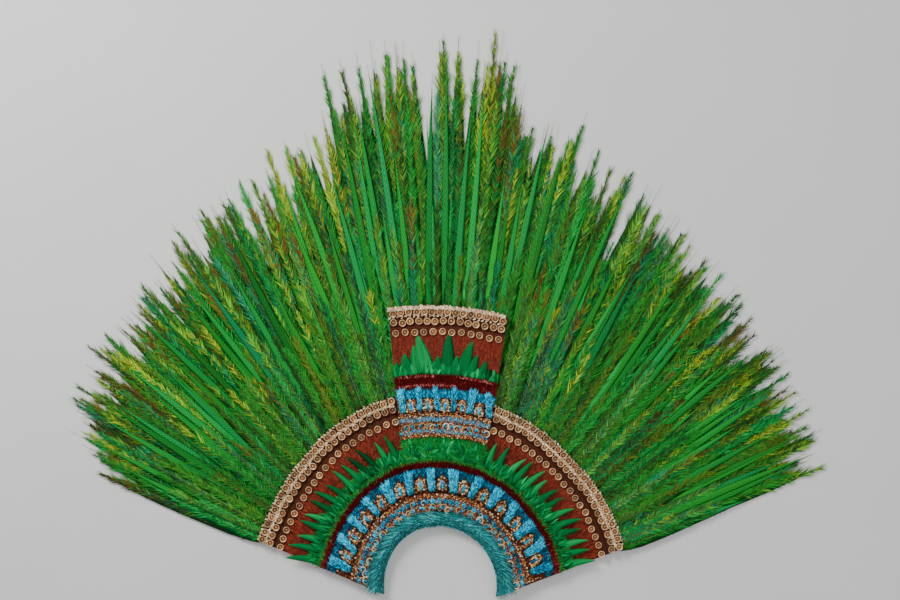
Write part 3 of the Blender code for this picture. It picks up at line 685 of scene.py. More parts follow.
STEP_GOLD = GoldFinish(
    "step_gold",
    (
        (0.1, (0.10, 0.026, 0.010)), (0.45, (0.42, 0.12, 0.025)), (0.75, (0.86, 0.50, 0.18)),
        (1.0, (0.98, 0.86, 0.62)),
    ),
    guided=0.0, metal=0.45, beaten=700.0,
)
NET = NetFinish("fibre_net", (0.24, 0.15, 0.08), (0.035, 0.020, 0.012), "backing")
STRIP_WEAVE = NetFinish(
    "strip_weave", (0.135, 0.036, 0.018), (0.034, 0.008, 0.004), "brown_strip", mesh_size=0.0022
)


def start_clean() -> None:
    """Leaves edit mode and clears the selection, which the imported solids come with."""
    if bpy.context.object and bpy.context.object.mode != "OBJECT":
        bpy.ops.object.mode_set(mode="OBJECT")
    bpy.ops.object.select_all(action="DESELECT")


@contextmanager
def editing(everything: bool = True) -> Iterator[None]:
    """Edits the active shape and leaves edit mode afterwards.

    Args:
        everything: whether all of it is selected first, or what was picked stays selected.

    Yields:
        Nothing.
    """
    bpy.ops.object.mode_set(mode="EDIT")
    if everything:
        bpy.ops.mesh.select_all(action="SELECT")
    yield
    bpy.ops.object.mode_set(mode="OBJECT")


def face_out() -> None:
    """Turns all faces of the active shape outwards."""
    with editing():
        bpy.ops.mesh.normals_make_consistent(inside=False)


def pick_faces(mesh: bpy.types.Mesh, wanted: Callable[[bpy.types.MeshPolygon], bool]) -> None:
    """Selects only the faces that are wanted, in object mode.

    Args:
        mesh: the mesh.
        wanted: function from a face to whether it is wanted.
    """
    for part in (*mesh.vertices, *mesh.edges):
        part.select = False
    for face in mesh.polygons:
        face.select = bool(wanted(face))


def read(items: bpy.types.bpy_prop_collection, name: str, width: int, kind: type) -> np.ndarray:
    """Reads one property of all of a mesh's corners, faces or loops.

    Args:
        items: the mesh's items.
        name: the property.
        width: how many numbers each item has.
        kind: type of the numbers.

    Returns:
        A row for each item, or a number where width is 1.
    """
    values = np.empty(len(items) * width, dtype=kind)
    items.foreach_get(name, values)
    return values.reshape(-1, width) if width > 1 else values


def set_tint(mesh: bpy.types.Mesh, colours: np.ndarray) -> None:
    """Stores each vertex's colour place, light and guide value."""
    mesh.attributes.new("tint", "FLOAT_COLOR", "POINT").data.foreach_set("color", colours.ravel())


class Pattern:
    """One small piece, modelled once, that is copied many times into a joined mesh.

    In its own space a pattern runs along Y from 0 to 1, X is across and Z is up.
    """

    def __init__(
        self, shape: bpy.types.Object, smooth: bool = False,
        guide: Callable[[np.ndarray], np.ndarray] | None = None,
    ) -> None:
        """Reads the modelled object's mesh and deletes the object.

        Args:
            shape: the modelled object.
            smooth: whether the copies are shaded smooth.
            guide: function from the corners to a value that the finishes read; the place along Y if left out.
        """
        mesh = shape.data
        self.smooth = smooth
        self.corners = read(mesh.vertices, "co", 3, float)
        self.guide = guide(self.corners) if guide else self.corners[:, 1]
        self.loops = read(mesh.loops, "vertex_index", 1, int)
        self.sizes = read(mesh.polygons, "loop_total", 1, int)
        bpy.data.objects.remove(shape)

    def copies(
        self, name: str, origin: np.ndarray, across: np.ndarray, along: np.ndarray, up: np.ndarray,
        tint: np.ndarray, bend: np.ndarray,
    ) -> bpy.types.Object:
        """Joins many copies into one object.

        Args:
            name: name of the new piece.
            origin: foot of each copy.
            across: where a step of 1 across leads, for each copy.
            along: where a step of 1 along leads.
            up: where a step of 1 up leads.
            tint: colour place and light of each copy.
            bend: how far the far end is bent away, growing with the square of the way along.

        Returns:
            The joined object, with a tint attribute and a UV map.
        """
        local, count, size = self.corners, len(origin), len(self.corners)
        x, y, z = (local[None, :, axis : axis + 1] for axis in range(3))
        spread = origin[:, None] + x * across[:, None] + y * along[:, None] + z * up[:, None]
        spread = spread + y**2 * bend[:, None]
        mesh = bpy.data.meshes.new(name)
        mesh.vertices.add(count * size)
        mesh.vertices.foreach_set("co", spread.ravel())
        loops = (self.loops[None, :] + np.arange(count)[:, None] * size).ravel()
        mesh.loops.add(len(loops))
        mesh.loops.foreach_set("vertex_index", loops)
        sizes = np.tile(self.sizes, count)
        mesh.polygons.add(len(sizes))
        mesh.polygons.foreach_set("loop_start", np.concatenate(([0], np.cumsum(sizes)[:-1])))
        mesh.polygons.foreach_set("use_smooth", np.full(len(sizes), self.smooth))
        mesh.update(calc_edges=True)
        colours = np.ones((count, size, 4))
        colours[:, :, 0:2] = tint[:, None, :]
        colours[:, :, 2] = self.guide
        set_tint(mesh, colours)
        places = (local[:, :2] + (0.5, 0.0))[self.loops]
        mesh.uv_layers.new(name="UVMap").data.foreach_set("uv", np.tile(places, (count, 1)).ravel())
        made = bpy.data.objects.new(name, mesh)
        bpy.context.scene.collection.objects.link(made)
        return made


@dataclass
class Workbench:
    """Models each pattern once, from a primitive that is then shaped.

    Attributes:
        barb_tip: height of a barb's tip.
        quill_cuts: cuts across a quill, so that it can bend.
        quill_tip: radius of a quill's tip.
        disc_profile: a disc's corners, as pairs of a radius and a height.
        disc_steps: corners round a disc.
        disc_push: how far a disc's guide is pushed to one side, so that its shadow is a crescent.
        ring_radius: radius of a wire ring.
        ring_wire: radius of its wire.
        ring_gap: place along Y from which it is open.
        plate_inset: how far a plate's top is inset.
        plate_rise: how far that top is raised.
    """

    barb_tip: float = 0.15
    quill_cuts: int = 5
    quill_tip: float = 0.12
    disc_profile: tuple = (
        (0.0, 0.62), (0.20, 0.56), (0.36, 0.22), (0.56, 0.14), (0.72, 0.56), (0.84, 1.0), (0.94, 0.90), (1.0, 0.0)
    )
    disc_steps: int = 12
    disc_push: float = 1.1
    ring_radius: float = 0.42
    ring_wire: float = 0.075
    ring_gap: float = -0.30
    plate_inset: float = 0.16
    plate_rise: float = 0.35

    def __post_init__(self) -> None:
        """Makes all patterns."""
        self.barb = self.model_barb()
        self.quill = self.model_quill()
        self.blade = self.model_feather(4, 14, self.blade_width, 0.5, 0.35)
        self.vane = self.model_feather(2, 9, self.vane_width, 0.5, 0.35)
        self.leaf = self.model_feather(4, 7, self.leaf_width, 0.85, 0.14)
        self.disc = self.model_disc()
        self.crescent = self.model_crescent()
        self.plate = self.model_plate()
        self.stitch = self.model_stitch()

    def model_barb(self) -> Pattern:
        """Models a barb: a three-sided spike with a flat underside.

        Returns:
            The pattern.
        """
        start_clean()
        bpy.ops.mesh.primitive_cone_add(vertices=3, radius1=0.577, radius2=0.0, depth=1.0, location=(0, 0, 0.5))
        bpy.ops.transform.rotate(value=math.radians(90), orient_axis="X", center_override=(0, 0, 0))
        bpy.ops.object.transform_apply(location=True, rotation=True, scale=True)
        barb = bpy.context.object
        heights = [vertex.co.z for vertex in barb.data.vertices]
        low, tall = min(heights), max(heights) - min(heights)
        flip = -1.0 if barb.data.vertices[-1].co.y < 0 else 1.0
        for vertex in barb.data.vertices:
            vertex.co.y *= flip
            vertex.co.z = self.barb_tip if vertex.co.y > 0.5 else (vertex.co.z - low) / tall
        face_out()
        return Pattern(barb)

    def model_quill(self) -> Pattern:
        """Models a quill: a four-sided tapered rod, cut into stretches so that it can bend.

        Returns:
            The pattern.
        """
        start_clean()
        bpy.ops.mesh.primitive_cone_add(
            vertices=4, radius1=0.5, radius2=self.quill_tip, depth=1.0, location=(0, 0, 0.5)
        )
        bpy.ops.object.transform_apply(location=True, rotation=True, scale=True)
        quill = bpy.context.object
        for vertex in quill.data.vertices:
            vertex.co = (vertex.co.x, vertex.co.z, -vertex.co.y)
        with editing():
            for share in stretch(0.0, 1.0, self.quill_cuts + 2)[1:-1]:
                bpy.ops.mesh.select_all(action="SELECT")
                bpy.ops.mesh.bisect(plane_co=(0, share, 0), plane_no=(0, 1, 0))
        return Pattern(quill, smooth=True)

    @staticmethod
    def blade_width(along: float) -> float:
        """Width of a long closed feather along its length, with a slightly ragged edge."""
        ragged = 1.0 + 0.10 * math.sin(along * 61.0) * math.sin(along * 23.0)
        return (0.30 + 0.70 * math.sin(math.pi * min(1.0, 0.10 + along)) ** 0.6) * (1 - along**7) * ragged + 0.02

    @staticmethod
    def vane_width(along: float) -> float:
        """Width of the close part of a long open feather along its length."""
        return min(1.0, 0.35 + along * 4.0) * (1 - 0.15 * along) * (1 - along**5) + 0.02

    @staticmethod
    def leaf_width(along: float) -> float:
        """Width of a short, full, blunt-pointed feather along its length."""
        return max(0.03, math.sin(math.pi * (0.24 + 0.76 * along**0.95))) ** 0.7

    @staticmethod
    def model_feather(
        columns: int, rows: int, width: Callable[[float], float], dome: float, wall: float
    ) -> Pattern:
        """Models a closed feather with a groove along its middle and drooping edges.

        Args:
            columns: faces across.
            rows: faces along.
            width: function from the place along to the share of the full width.
            dome: height of its crown.
            wall: thickness of its wall.

        Returns:
            The pattern.
        """
        start_clean()
        bpy.ops.mesh.primitive_grid_add(
            x_subdivisions=columns, y_subdivisions=rows, size=1.0, location=(0, 0.5, 0)
        )
        bpy.ops.object.transform_apply(location=True)
        feather = bpy.context.object
        for vertex in feather.data.vertices:
            across, along = abs(vertex.co.x * 2), vertex.co.y
            vertex.co.x *= width(along)
            groove = 0.72 if across < 0.1 else 1.0
            swell = 0.35 + 0.65 * math.sin(math.pi * along) ** 0.5
            vertex.co.z = wall + dome * groove * (1 - across**1.6) * swell
        shell = feather.modifiers.new("wall", "SOLIDIFY")
        shell.thickness = wall
        shell.offset = -1.0
        bpy.ops.object.modifier_apply(modifier="wall")
        return Pattern(feather, smooth=True)

    def model_disc(self) -> Pattern:
        """Models a gold disc: a cupped lip round a hollow with a knob in its middle, spun from its profile.

        Returns:
            The pattern.
        """
        profile = self.disc_profile
        start_clean()
        bpy.ops.mesh.primitive_plane_add(size=1.0)
        disc = bpy.context.object
        with editing():
            bpy.ops.mesh.delete(type="ONLY_FACE")
            bpy.ops.mesh.select_all(action="SELECT")
            bpy.ops.mesh.merge(type="CENTER")
            bpy.ops.transform.translate(value=(0.0, 0.0, profile[0][1]))
            for (radius, height), (after, level) in zip(profile, profile[1:]):
                step = (0.5 * (after - radius), 0, level - height)
                bpy.ops.mesh.extrude_vertices_move(TRANSFORM_OT_translate={"value": step})
            bpy.ops.mesh.select_all(action="SELECT")
            bpy.ops.mesh.spin(steps=self.disc_steps, angle=math.radians(360), center=(0, 0, 0), axis=(0, 0, 1))
            bpy.ops.mesh.select_all(action="SELECT")
            bpy.ops.mesh.remove_doubles(threshold=0.001)
            bpy.ops.mesh.fill_holes(sides=0)
            bpy.ops.mesh.normals_make_consistent(inside=False)
        return Pattern(disc, smooth=True, guide=self.disc_shading_guide)

    def disc_shading_guide(self, corners: np.ndarray) -> np.ndarray:
        """From 0 at a disc's middle to 1 at its edge, pushed to one side so that the painted shadow in its hollow
        is a crescent.
        """
        radius = 2 * np.hypot(corners[:, 0], corners[:, 1])
        return radius + self.disc_push * corners[:, 0] * (1 - radius)

    def model_crescent(self) -> Pattern:
        """Models a ring of gold wire that is open on one side.

        Returns:
            The pattern.
        """
        start_clean()
        bpy.ops.mesh.primitive_torus_add(
            major_radius=self.ring_radius, minor_radius=self.ring_wire, major_segments=16, minor_segments=5
        )
        crescent = bpy.context.object
        pick_faces(crescent.data, lambda face: face.center.y < self.ring_gap)
        with editing(everything=False):
            bpy.ops.mesh.delete(type="FACE")
            bpy.ops.mesh.select_all(action="SELECT")
            bpy.ops.mesh.fill_holes(sides=0)
        for vertex in crescent.data.vertices:
            vertex.co.y += 0.5
            vertex.co.z = 0.5 + vertex.co.z * 6.0
        return Pattern(crescent, smooth=True, guide=lambda corners: 0.6 + 0.4 * corners[:, 2])

    def model_plate(self) -> Pattern:
        """Models a small beaten plate, its top inset and raised.

        Returns:
            The pattern.
        """
        start_clean()
        bpy.ops.mesh.primitive_cube_add(size=1.0, location=(0, 0.5, 0.5))
        bpy.ops.object.transform_apply(location=True)
        plate = bpy.context.object
        pick_faces(plate.data, lambda face: face.normal.z > 0.5)
        with editing(everything=False):
            bpy.ops.mesh.inset(thickness=self.plate_inset, depth=0.0)
            bpy.ops.transform.translate(value=(0, 0, self.plate_rise))
        for vertex in plate.data.vertices:
            vertex.co.z /= 1 + self.plate_rise
        return Pattern(plate)

    @staticmethod
    def model_stitch() -> Pattern:
        """Models a plump stitch of thread.

        Returns:
            The pattern.
        """
        start_clean()
        bpy.ops.mesh.primitive_uv_sphere_add(segments=6, ring_count=4, radius=0.5, location=(0, 0.5, 0.5))
        bpy.ops.object.transform_apply(location=True)
        return Pattern(bpy.context.object, smooth=True)


@dataclass
class Atelier:
    """What every sub-assembly needs: the surfaces, the patterns and the finishes."""

    crown: Crown

    def __post_init__(self) -> None:
        """Models the patterns and gets ready to dress pieces."""
        self.panel = Panel(self.crown)
        self.bench = Workbench()
        self.materials: dict[str, bpy.types.Material] = {}

    def paint(self, piece: bpy.types.Object, finish: Finish) -> None:
        """Gives a piece its finish, whose material is made when it is first asked for.

        Args:
            piece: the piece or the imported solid.
            finish: one of the finishes.
        """
        if finish.name not in self.materials:
            self.materials[finish.name] = finish.make()
        piece.data.materials.clear()
        piece.data.materials.append(self.materials[finish.name])

    def dress(self, piece: bpy.types.Object, finish: Finish, *nodes: str) -> None:
        """Gives a piece its finish, its body and the solids that it stands for.

        Args:
            piece: the new object.
            finish: one of the finishes.
            nodes: names of the solids that it replaces.
        """
        self.paint(piece, finish)
        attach(piece, BODY)
        if nodes:
            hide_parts(*nodes)
        LOG.info("%s: %d faces", piece.name, len(piece.data.polygons))

    def dress_solids(self, base: str, steps: list[str]) -> None:
        """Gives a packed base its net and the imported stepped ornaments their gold."""
        for node, finish in ((base, NET), *((step, STEP_GOLD) for step in steps)):
            self.paint(frame["nodes"][node], finish)


@dataclass
class Dresser:
    """Dresses one surface, the crown or the panel, with strips, rows and scattered feathers.

    Attributes:
        atelier: the patterns and the finishes.
        surface: the surface's measures.
        seed: seed of the hand that scatters feathers.
        strip_steps: stretches that a strip is cut into.
    """

    atelier: Atelier
    surface: Surface
    seed: int
    strip_steps: int = 150

    def __post_init__(self) -> None:
        """Takes up the patterns and seeds the hand."""
        self.bench = self.atelier.bench
        self.hand = np.random.default_rng(self.seed)

    def strip(self, name: str, profile: list, finish: Finish, *nodes: str) -> None:
        """Spins a strip from its profile and lays it along the surface.

        Args:
            name: name of the piece.
            profile: corners of (radius, height), going round the strip.
            finish: the piece's finish.
            nodes: names of the solids that it replaces.
        """
        start_clean()
        bpy.ops.mesh.primitive_circle_add(vertices=len(profile), radius=0.01, fill_type="NGON")
        piece = bpy.context.object
        for vertex, (radius, height) in zip(piece.data.vertices, profile):
            vertex.co = (radius, 0.0, height)
        with editing():
            bpy.ops.mesh.spin(steps=self.strip_steps, angle=1.0, center=(0, 0, 0), axis=(0, 0, 1))
            bpy.ops.mesh.select_all(action="SELECT")
            bpy.ops.mesh.remove_doubles(threshold=0.000001)
        corners = read(piece.data.vertices, "co", 3, float)
        radius = np.hypot(corners[:, 0], corners[:, 1])
        share = np.clip(np.abs(np.arctan2(corners[:, 1], corners[:, 0])), 0.0, 1.0)
        piece.data.vertices.foreach_set("co", self.surface.spot(share, radius, corners[:, 2]).ravel())
        face_out()
        piece.name = name
        set_tint(piece.data, np.full((len(corners), 4), 0.45))
        bpy.ops.object.shade_smooth_by_angle(angle=math.radians(50))
        self.atelier.dress(piece, finish, *nodes)

    def slab(
        self, name: str, inner: float, outer: float, low: float, top: float, finish: Finish, *nodes: str
    ) -> None:
        """Lays a flat strip with slightly broken upper edges.

        Args:
            name: name of the piece.
            inner: radius of its inner edge.
            outer: radius of its outer edge.
            low: height of its underside.
            top: height of its top.
            finish: the piece's finish.
            nodes: names of the solids that it replaces.
        """
        inner, edge = inner + 0.0003, min(0.002, (top - low) / 3)
        below = [(inner, low), (outer, low), (outer, top - edge)]
        self.strip(name, [*below, (outer - edge, top), (inner + edge, top), (inner, top - edge)], finish, *nodes)

    def tints(self, count: int, middle: object, spread: float, light: float) -> np.ndarray:
        """Picks colour places and lights, scattered round a middle value.

        Args:
            count: how many copies there are.
            middle: middle of the colour places.
            spread: how far they stray.
            light: middle of the lights.

        Returns:
            Colour place and light of each copy.
        """
        places = np.clip(middle + self.hand.normal(0.0, spread, count), 0.0, 1.0)
        lights = np.clip(self.hand.normal(light, 0.18, count), 0.0, 1.0)
        return np.stack((places, lights), axis=-1)

    def plant(
        self, name: str, pattern: Pattern, finish: Finish, share: np.ndarray, radius: np.ndarray,
        height: object, size: tuple, aim: object = 0.0, wander: float = 0.0, middle: object = 0.5,
        spread: float = 0.2, light: float = 0.5, lift: float = 0.0, curl: float = 0.0, jitter: float = 0.0,
        mirrored: bool = False,
    ) -> None:
        """Plants copies of a pattern at given places.

        Args:
            name: name of the piece.
            pattern: what is copied.
            finish: the piece's finish.
            share: share of the surface's width at each foot.
            radius: radius of each foot.
            height: height of each foot, or a function of the radius.
            size: length, width and height of the copies.
            aim: how far the copies are turned to the left of straight out.
            wander: how far that angle strays.
            middle: middle of the colour places, or a function of the share.
            spread: how far the colour places stray.
            light: middle of the lights.
            lift: most that a far end rises.
            curl: how far the copies bend to the left, as a share of their length.
            jitter: how far the lengths stray, as a share.
            mirrored: whether the right half's aim and curl are mirrored.
        """
        hand = self.hand
        share, radius = (values.ravel() for values in np.broadcast_arrays(share, radius))
        count = share.size
        level = height(radius) if callable(height) else height
        tone = middle(share) if callable(middle) else middle
        side = np.where(share > 0.5, 1.0, -1.0) if mirrored else 1.0
        forward = turned(self.surface.way(share, radius), aim * side + hand.normal(0.0, wander, count))
        length, width, thick = (np.broadcast_to(value, (count,))[:, None] for value in size)
        length = length * hand.uniform(1 - jitter, 1 + jitter, count)[:, None]
        left = left_of(forward)
        piece = pattern.copies(
            name,
            self.surface.spot(share, radius, level),
            -left * width,
            forward * length + UP * (lift * hand.uniform(0.3, 1.0, count))[:, None],
            UP * thick,
            self.tints(count, tone, spread, light),
            left * length * np.broadcast_to(curl * side, (count,))[:, None],
        )
        self.atelier.dress(piece, finish)

    def scatter(
        self, name: str, finish: Finish, count: int, radii: tuple, height: object, size: tuple, **how: object
    ) -> None:
        """Plants copies at random places between two radii.

        Args:
            name: name of the piece.
            finish: the piece's finish.
            count: how many copies.
            radii: smallest and largest radius of a foot.
            height: height of the feet.
            size: length, width and height of the copies.
            how: zones (pairs of shares between which they grow), pattern, and anything that plant takes.
        """
        lows, highs = np.array(how.pop("zones", ((0.004, 0.996),))).T
        widths = highs - lows
        zone = self.hand.choice(len(widths), count, p=widths / widths.sum())
        share = lows[zone] + widths[zone] * self.hand.uniform(size=count)
        radius = self.hand.uniform(*radii, count)
        how = {"wander": 12.0, "jitter": 0.25, **how}
        self.plant(name, how.pop("pattern", self.bench.barb), finish, share, radius, height, size, **how)

    def row(
        self, name: str, pattern: Pattern, finish: Finish, count: int, radius: float, height: float,
        size: tuple, **how: object,
    ) -> None:
        """Plants evenly spaced copies in a row, as many in each zone.

        Args:
            name: name of the piece.
            pattern: what is copied.
            finish: the piece's finish.
            count: how many copies in each zone.
            radius: radius of the row.
            height: height of the row.
            size: length, width and height of the copies.
            how: zones, stray (how far the places stray), and anything that plant takes.
        """
        zones, stray = how.pop("zones", ((0.01, 0.99),)), how.pop("stray", 0.0)
        share = np.concatenate([stretch(low, high, count) for low, high in zones])
        share = share + self.hand.normal(0.0, 0.6 * stray, share.size) / self.surface.width(radius)
        radius = radius + self.hand.normal(0.0, stray, share.size)
        self.plant(name, pattern, finish, share, radius, height, size, **how)

    def discs(self, name: str, count: int, radius: float, height: float, size: float, zones: tuple) -> None:
        """Lays a row of gold discs.

        Args:
            name: name of the piece.
            count: how many discs in each zone.
            radius: radius of the row.
            height: height of the ground under it.
            size: width of a disc.
            zones: pairs of shares between which the discs lie.
        """
        self.row(
            name, self.bench.disc, DISC_GOLD_PAINTED_SHADING, count, radius, height - 0.0004, (size, size, 0.0056),
            zones=zones, stray=0.0011, wander=180.0, middle=0.6, jitter=0.05,
        )

    def braid(self, name: str, radius: float, height: float, zones: tuple, gap: float = 0.0040) -> None:
        """Lays a lumpy braid of pale thread: two strands of plump stitches that lean against each other.

        Args:
            name: name of the pieces.
            radius: radius of the braid.
            height: height of its underside.
            zones: pairs of shares between which it runs.
            gap: distance from stitch to stitch.
        """
        length = sum(high - low for low, high in zones) * self.surface.width(radius)
        count = int(length / gap / len(zones))
        for strand, lean in (("a", 62.0), ("b", 118.0)):
            self.row(
                f"{name}_{strand}", self.bench.stitch, CREAM_THREAD, count, radius + (lean - 90.0) * 0.00003,
                height, (0.0082, 0.0040, 0.0042), zones=zones, stray=0.0005, aim=lean, wander=12.0,
                middle=0.68, spread=0.22,
            )

    def tufts(
        self, name: str, centres: np.ndarray, radii: tuple, half_width: float, low: float, rise: float,
        strands: int, **how: object,
    ) -> None:
        """Plants rounded blocks of short blue barbs.

        Args:
            name: name of the piece.
            centres: share at each block's middle.
            radii: inner and outer end of the blocks.
            half_width: half of a block's width.
            low: height of the blocks' edges.
            rise: how much higher their middles are.
            strands: barbs in each block.
            how: length (of a barb), vary (how far the blocks' tones stray), and anything that plant takes.
        """
        hand, number = self.hand, centres.size
        breadth, slant = hand.uniform(0.62, 1.14, number), hand.normal(0.0, 0.70, number)
        centre, breadth, slant = (np.repeat(values, strands) for values in (centres, breadth, slant))
        side, along = hand.uniform(-1.0, 1.0, centre.size), hand.uniform(0.0, 1.0, centre.size)
        radius = radii[0] + (radii[1] - radii[0]) * along
        dome = np.sqrt(1 - 0.85 * side**2) * (1 - 0.5 * (2 * along - 1) ** 8)
        aside = (side * breadth * (0.80 + 0.32 * along) + (along - 0.5) * slant) * half_width
        share = centre + aside / self.surface.width(sum(radii) / 2)
        size = (how.pop("length", 0.0098), 0.0022, 0.0024)
        how = {"wander": 17.0, "middle": 0.66, "spread": 0.20, "light": 0.60, **how}
        how["middle"] = how["middle"] + np.repeat(hand.normal(0.0, how.pop("vary", 0.09), number), strands)
        height = low + rise * dome * hand.uniform(0.35, 1.0, centre.size)
        self.plant(
            name, self.bench.barb, TUFT_BLUE, share, radius, height, size, jitter=0.35, lift=0.002, **how
        )

    def brown_down(self, name: str, count: int, inner: float, top: float) -> None:
        """Scatters short brown down over a blue band's inner part, where its arches stand."""
        self.scatter(
            name, STEP_GOLD, count, (inner, inner + 0.036), top - 0.0008, (0.0050, 0.0026, 0.0022),
            wander=60.0, middle=0.35, spread=0.26,
        )

    def arches(self, name: str, centres: np.ndarray, radius: float, height: float, scale: float) -> None:
        """Plants nested arches of small gold plates round a blue heart, over each stepped ornament.

        Args:
            name: name of the piece.
            centres: share at each arch's middle.
            radius: radius at which the arches start.
            height: height of the plates.
            scale: size of the arches against those of the crown.
        """
        bends = np.radians(stretch(-8.0, 188.0, 9))
        across, out = [], []
        for size in (0.0058, 0.0100):
            across += [*(size * np.cos(bends)), size, size, -size, -size]
            out += [*(0.016 + 1.5 * size * np.sin(bends)), 0.0105, 0.0050, 0.0105, 0.0050]
        across, out = np.array(across + [0.0, 0.0]) * scale, np.array(out + [0.002, 0.0335]) * scale
        share = centres[:, None] + across / self.surface.width(radius + 0.018)
        self.plant(
            f"{name}_plates", self.bench.plate, STEP_GOLD, share, radius + out[None], height,
            (0.0042 * scale, 0.0040 * scale, 0.0026), wander=30.0, middle=0.62, spread=0.25, jitter=0.2,
        )
        self.tufts(
            f"{name}_hearts", centres, (radius + 0.006 * scale, radius + 0.022 * scale), 0.0032 * scale,
            height - 0.0004, 0.0026, 46, length=0.0065, middle=0.62,
        )


@dataclass
class CrownBands(Dresser):
    """The crown's bands, from the head arch to the gold rim.

    Attributes:
        base_top: height of the stiff base.
        roll_rise: height of the edge roll.
        roll_heel: radius at which the roll's underside steps up onto the base.
        roll_lip: height of its outer edge.
        mosaic_rise: how far the mosaic's ground rises over the base.
        blue_rise: how far the blue band's does.
        fringe_rise: how far the red fringe's does.
        green_rise: how far the green band's does.
        rust_rise: how far the rust band's does.
        strip_rise: how far the dark strip's does.
        rim_low: height of the rim's underside.
        rim_rise: thickness of the rim.
        ring_count: wire rings along the edge.
        patch_count: patches in the blue mosaic.
        tuft_count: cyan tufts.
        leaf_places: places for long leaves round the whole crown.
        leaf_shares: how long the leaves are, turn by turn.
        disc_width: width of a spaced disc.
        rim_disc_width: width of a disc on the rim.
    """

    base_top: float = 0.0063
    roll_rise: float = 0.030
    roll_heel: float = 0.1427
    roll_lip: float = 0.015
    mosaic_rise: float = 0.0165
    blue_rise: float = 0.013
    fringe_rise: float = 0.015
    green_rise: float = 0.010
    rust_rise: float = 0.0045
    strip_rise: float = 0.006
    rim_low: float = 0.0111
    rim_rise: float = 0.003
    ring_count: int = 25
    patch_count: int = 42
    tuft_count: int = 14
    leaf_places: int = 36
    leaf_shares: tuple[float, ...] = (1.00, 0.86, 0.94, 0.80, 1.04)
    disc_width: float = 0.0168
    rim_disc_width: float = 0.0176

    def roll_height(self, radius: np.ndarray) -> np.ndarray:
        """Height of the edge roll's top at a radius."""
        across = (radius - self.surface.arch) / (self.surface.edge_outer - self.surface.arch)
        return self.roll_rise * np.sin(np.arccos(np.clip(1 - 2 * across, -0.999, 0.999))) ** 0.55

    def build_edge_roll(self) -> None:
        """Builds the smooth turquoise band over the arch's edge, with its feathers and inner fringe."""
        inner, outer, floor, heel = self.surface.arch, self.surface.edge_outer, self.base_top, self.roll_heel
        rounds = inner + (outer - inner) * (0.5 - 0.5 * np.cos(np.radians(stretch(12.0, 168.0, 9))))
        top = [(radius, float(self.roll_height(radius))) for radius in rounds]
        profile = [(inner, 0.0), *top, (outer, self.roll_lip), (outer, floor), (heel, floor), (heel, 0.0)]
        self.strip("edge_band", profile, TURQUOISE, "edge_roll")
        for name, count, radii, length, aim in (
            ("edge_feathers", 4400, (inner + 0.003, outer - 0.004), 0.024, 79.0),
            ("edge_fringe", 800, (inner + 0.0010, inner + 0.005), 0.010, 112.0),
        ):
            self.scatter(
                name, TURQUOISE, count, radii, lambda radius: self.roll_height(radius) - 0.0008,
                (length, 0.0015, 0.0010), zones=((0.022, 0.978),), aim=aim, wander=10.0, spread=0.36,
                mirrored=True,
            )

    def build_mosaic_band(self) -> None:
        """Builds open rings, a row of blue mosaic and rows of beads, from the edge roll outwards."""
        bench, inner, outer = self.bench, self.surface.edge_outer, self.surface.mosaic_outer
        top = self.base_top + self.mosaic_rise
        self.slab("mosaic_ground", inner, outer, self.base_top, top, STRIP_WEAVE, "mosaic_band")
        rings = stretch(0.020, 0.980, self.ring_count)
        self.plant(
            "edge_rings", bench.crescent, STEP_GOLD, rings,
            inner + 0.0005 + self.hand.normal(0.0, 0.0008, self.ring_count), top - 0.001,
            (0.0180, 0.0176, 0.0044), wander=40.0, middle=0.80, spread=0.12, jitter=0.06,
        )
        self.tufts(
            "ring_hearts", rings, (inner + 0.0055, inner + 0.0115), 0.0040, top - 0.001, 0.0024, 34,
            length=0.0042, wander=75.0, middle=0.52, spread=0.26,
        )
        self.scatter(
            "mosaic_brown_down", STEP_GOLD, 3200, (inner + 0.001, outer - 0.002), top - 0.0008,
            (0.0050, 0.0024, 0.0024), wander=80.0, lift=0.001, middle=0.26, spread=0.26,
        )
        self.tufts(
            "mosaic_patches", stretch(0.014, 0.986, self.patch_count), (inner + 0.0185, inner + 0.0265), 0.0044,
            top - 0.001, 0.0028, 42, length=0.0050, wander=70.0, middle=0.42, vary=0.20, spread=0.16,
        )
        self.row(
            "mosaic_rings", bench.crescent, STEP_GOLD, 24, inner + 0.0170, top, (0.0120, 0.0120, 0.0040),
            stray=0.0014, wander=180.0, middle=0.76, spread=0.14, jitter=0.1,
        )
        for name, count, place, size in (("a", 112, 0.0090, 0.0042), ("b", 100, 0.0040, 0.0048)):
            self.row(
                f"mosaic_beads_{name}", bench.stitch, STEP_GOLD, count, outer - place, top - 0.0012,
                (size, size, size * 0.9), stray=0.0011, wander=90.0, middle=0.58, spread=0.30, jitter=0.25,
            )

    def build_blue_band(self) -> None:
        """Builds cyan tufts between gold steps, on a ground of short blue and brown feathers."""
        inner, outer = self.surface.mosaic_outer, self.surface.blue_outer
        top = self.base_top + self.blue_rise
        self.slab("blue_ground", inner, outer, self.base_top, top, STRIP_WEAVE, "blue_band")
        self.scatter(
            "blue_down", TUFT_BLUE, 3400, (outer - 0.024, outer - 0.003), top - 0.001, (0.010, 0.0021, 0.0020),
            wander=34.0, lift=0.003, middle=0.20, spread=0.26, light=0.44,
        )
        self.brown_down("brown_down", 900, inner, top)
        spots = stretch(0.0, 1.0, 2 * self.tuft_count + 1)
        self.tufts("tufts", spots[1::2], (inner + 0.002, outer - 0.008), 0.0094, top, 0.0105, 400)
        self.arches("steps", spots[2:-1:2], inner + 0.0030, top + 0.0046, 1.0)

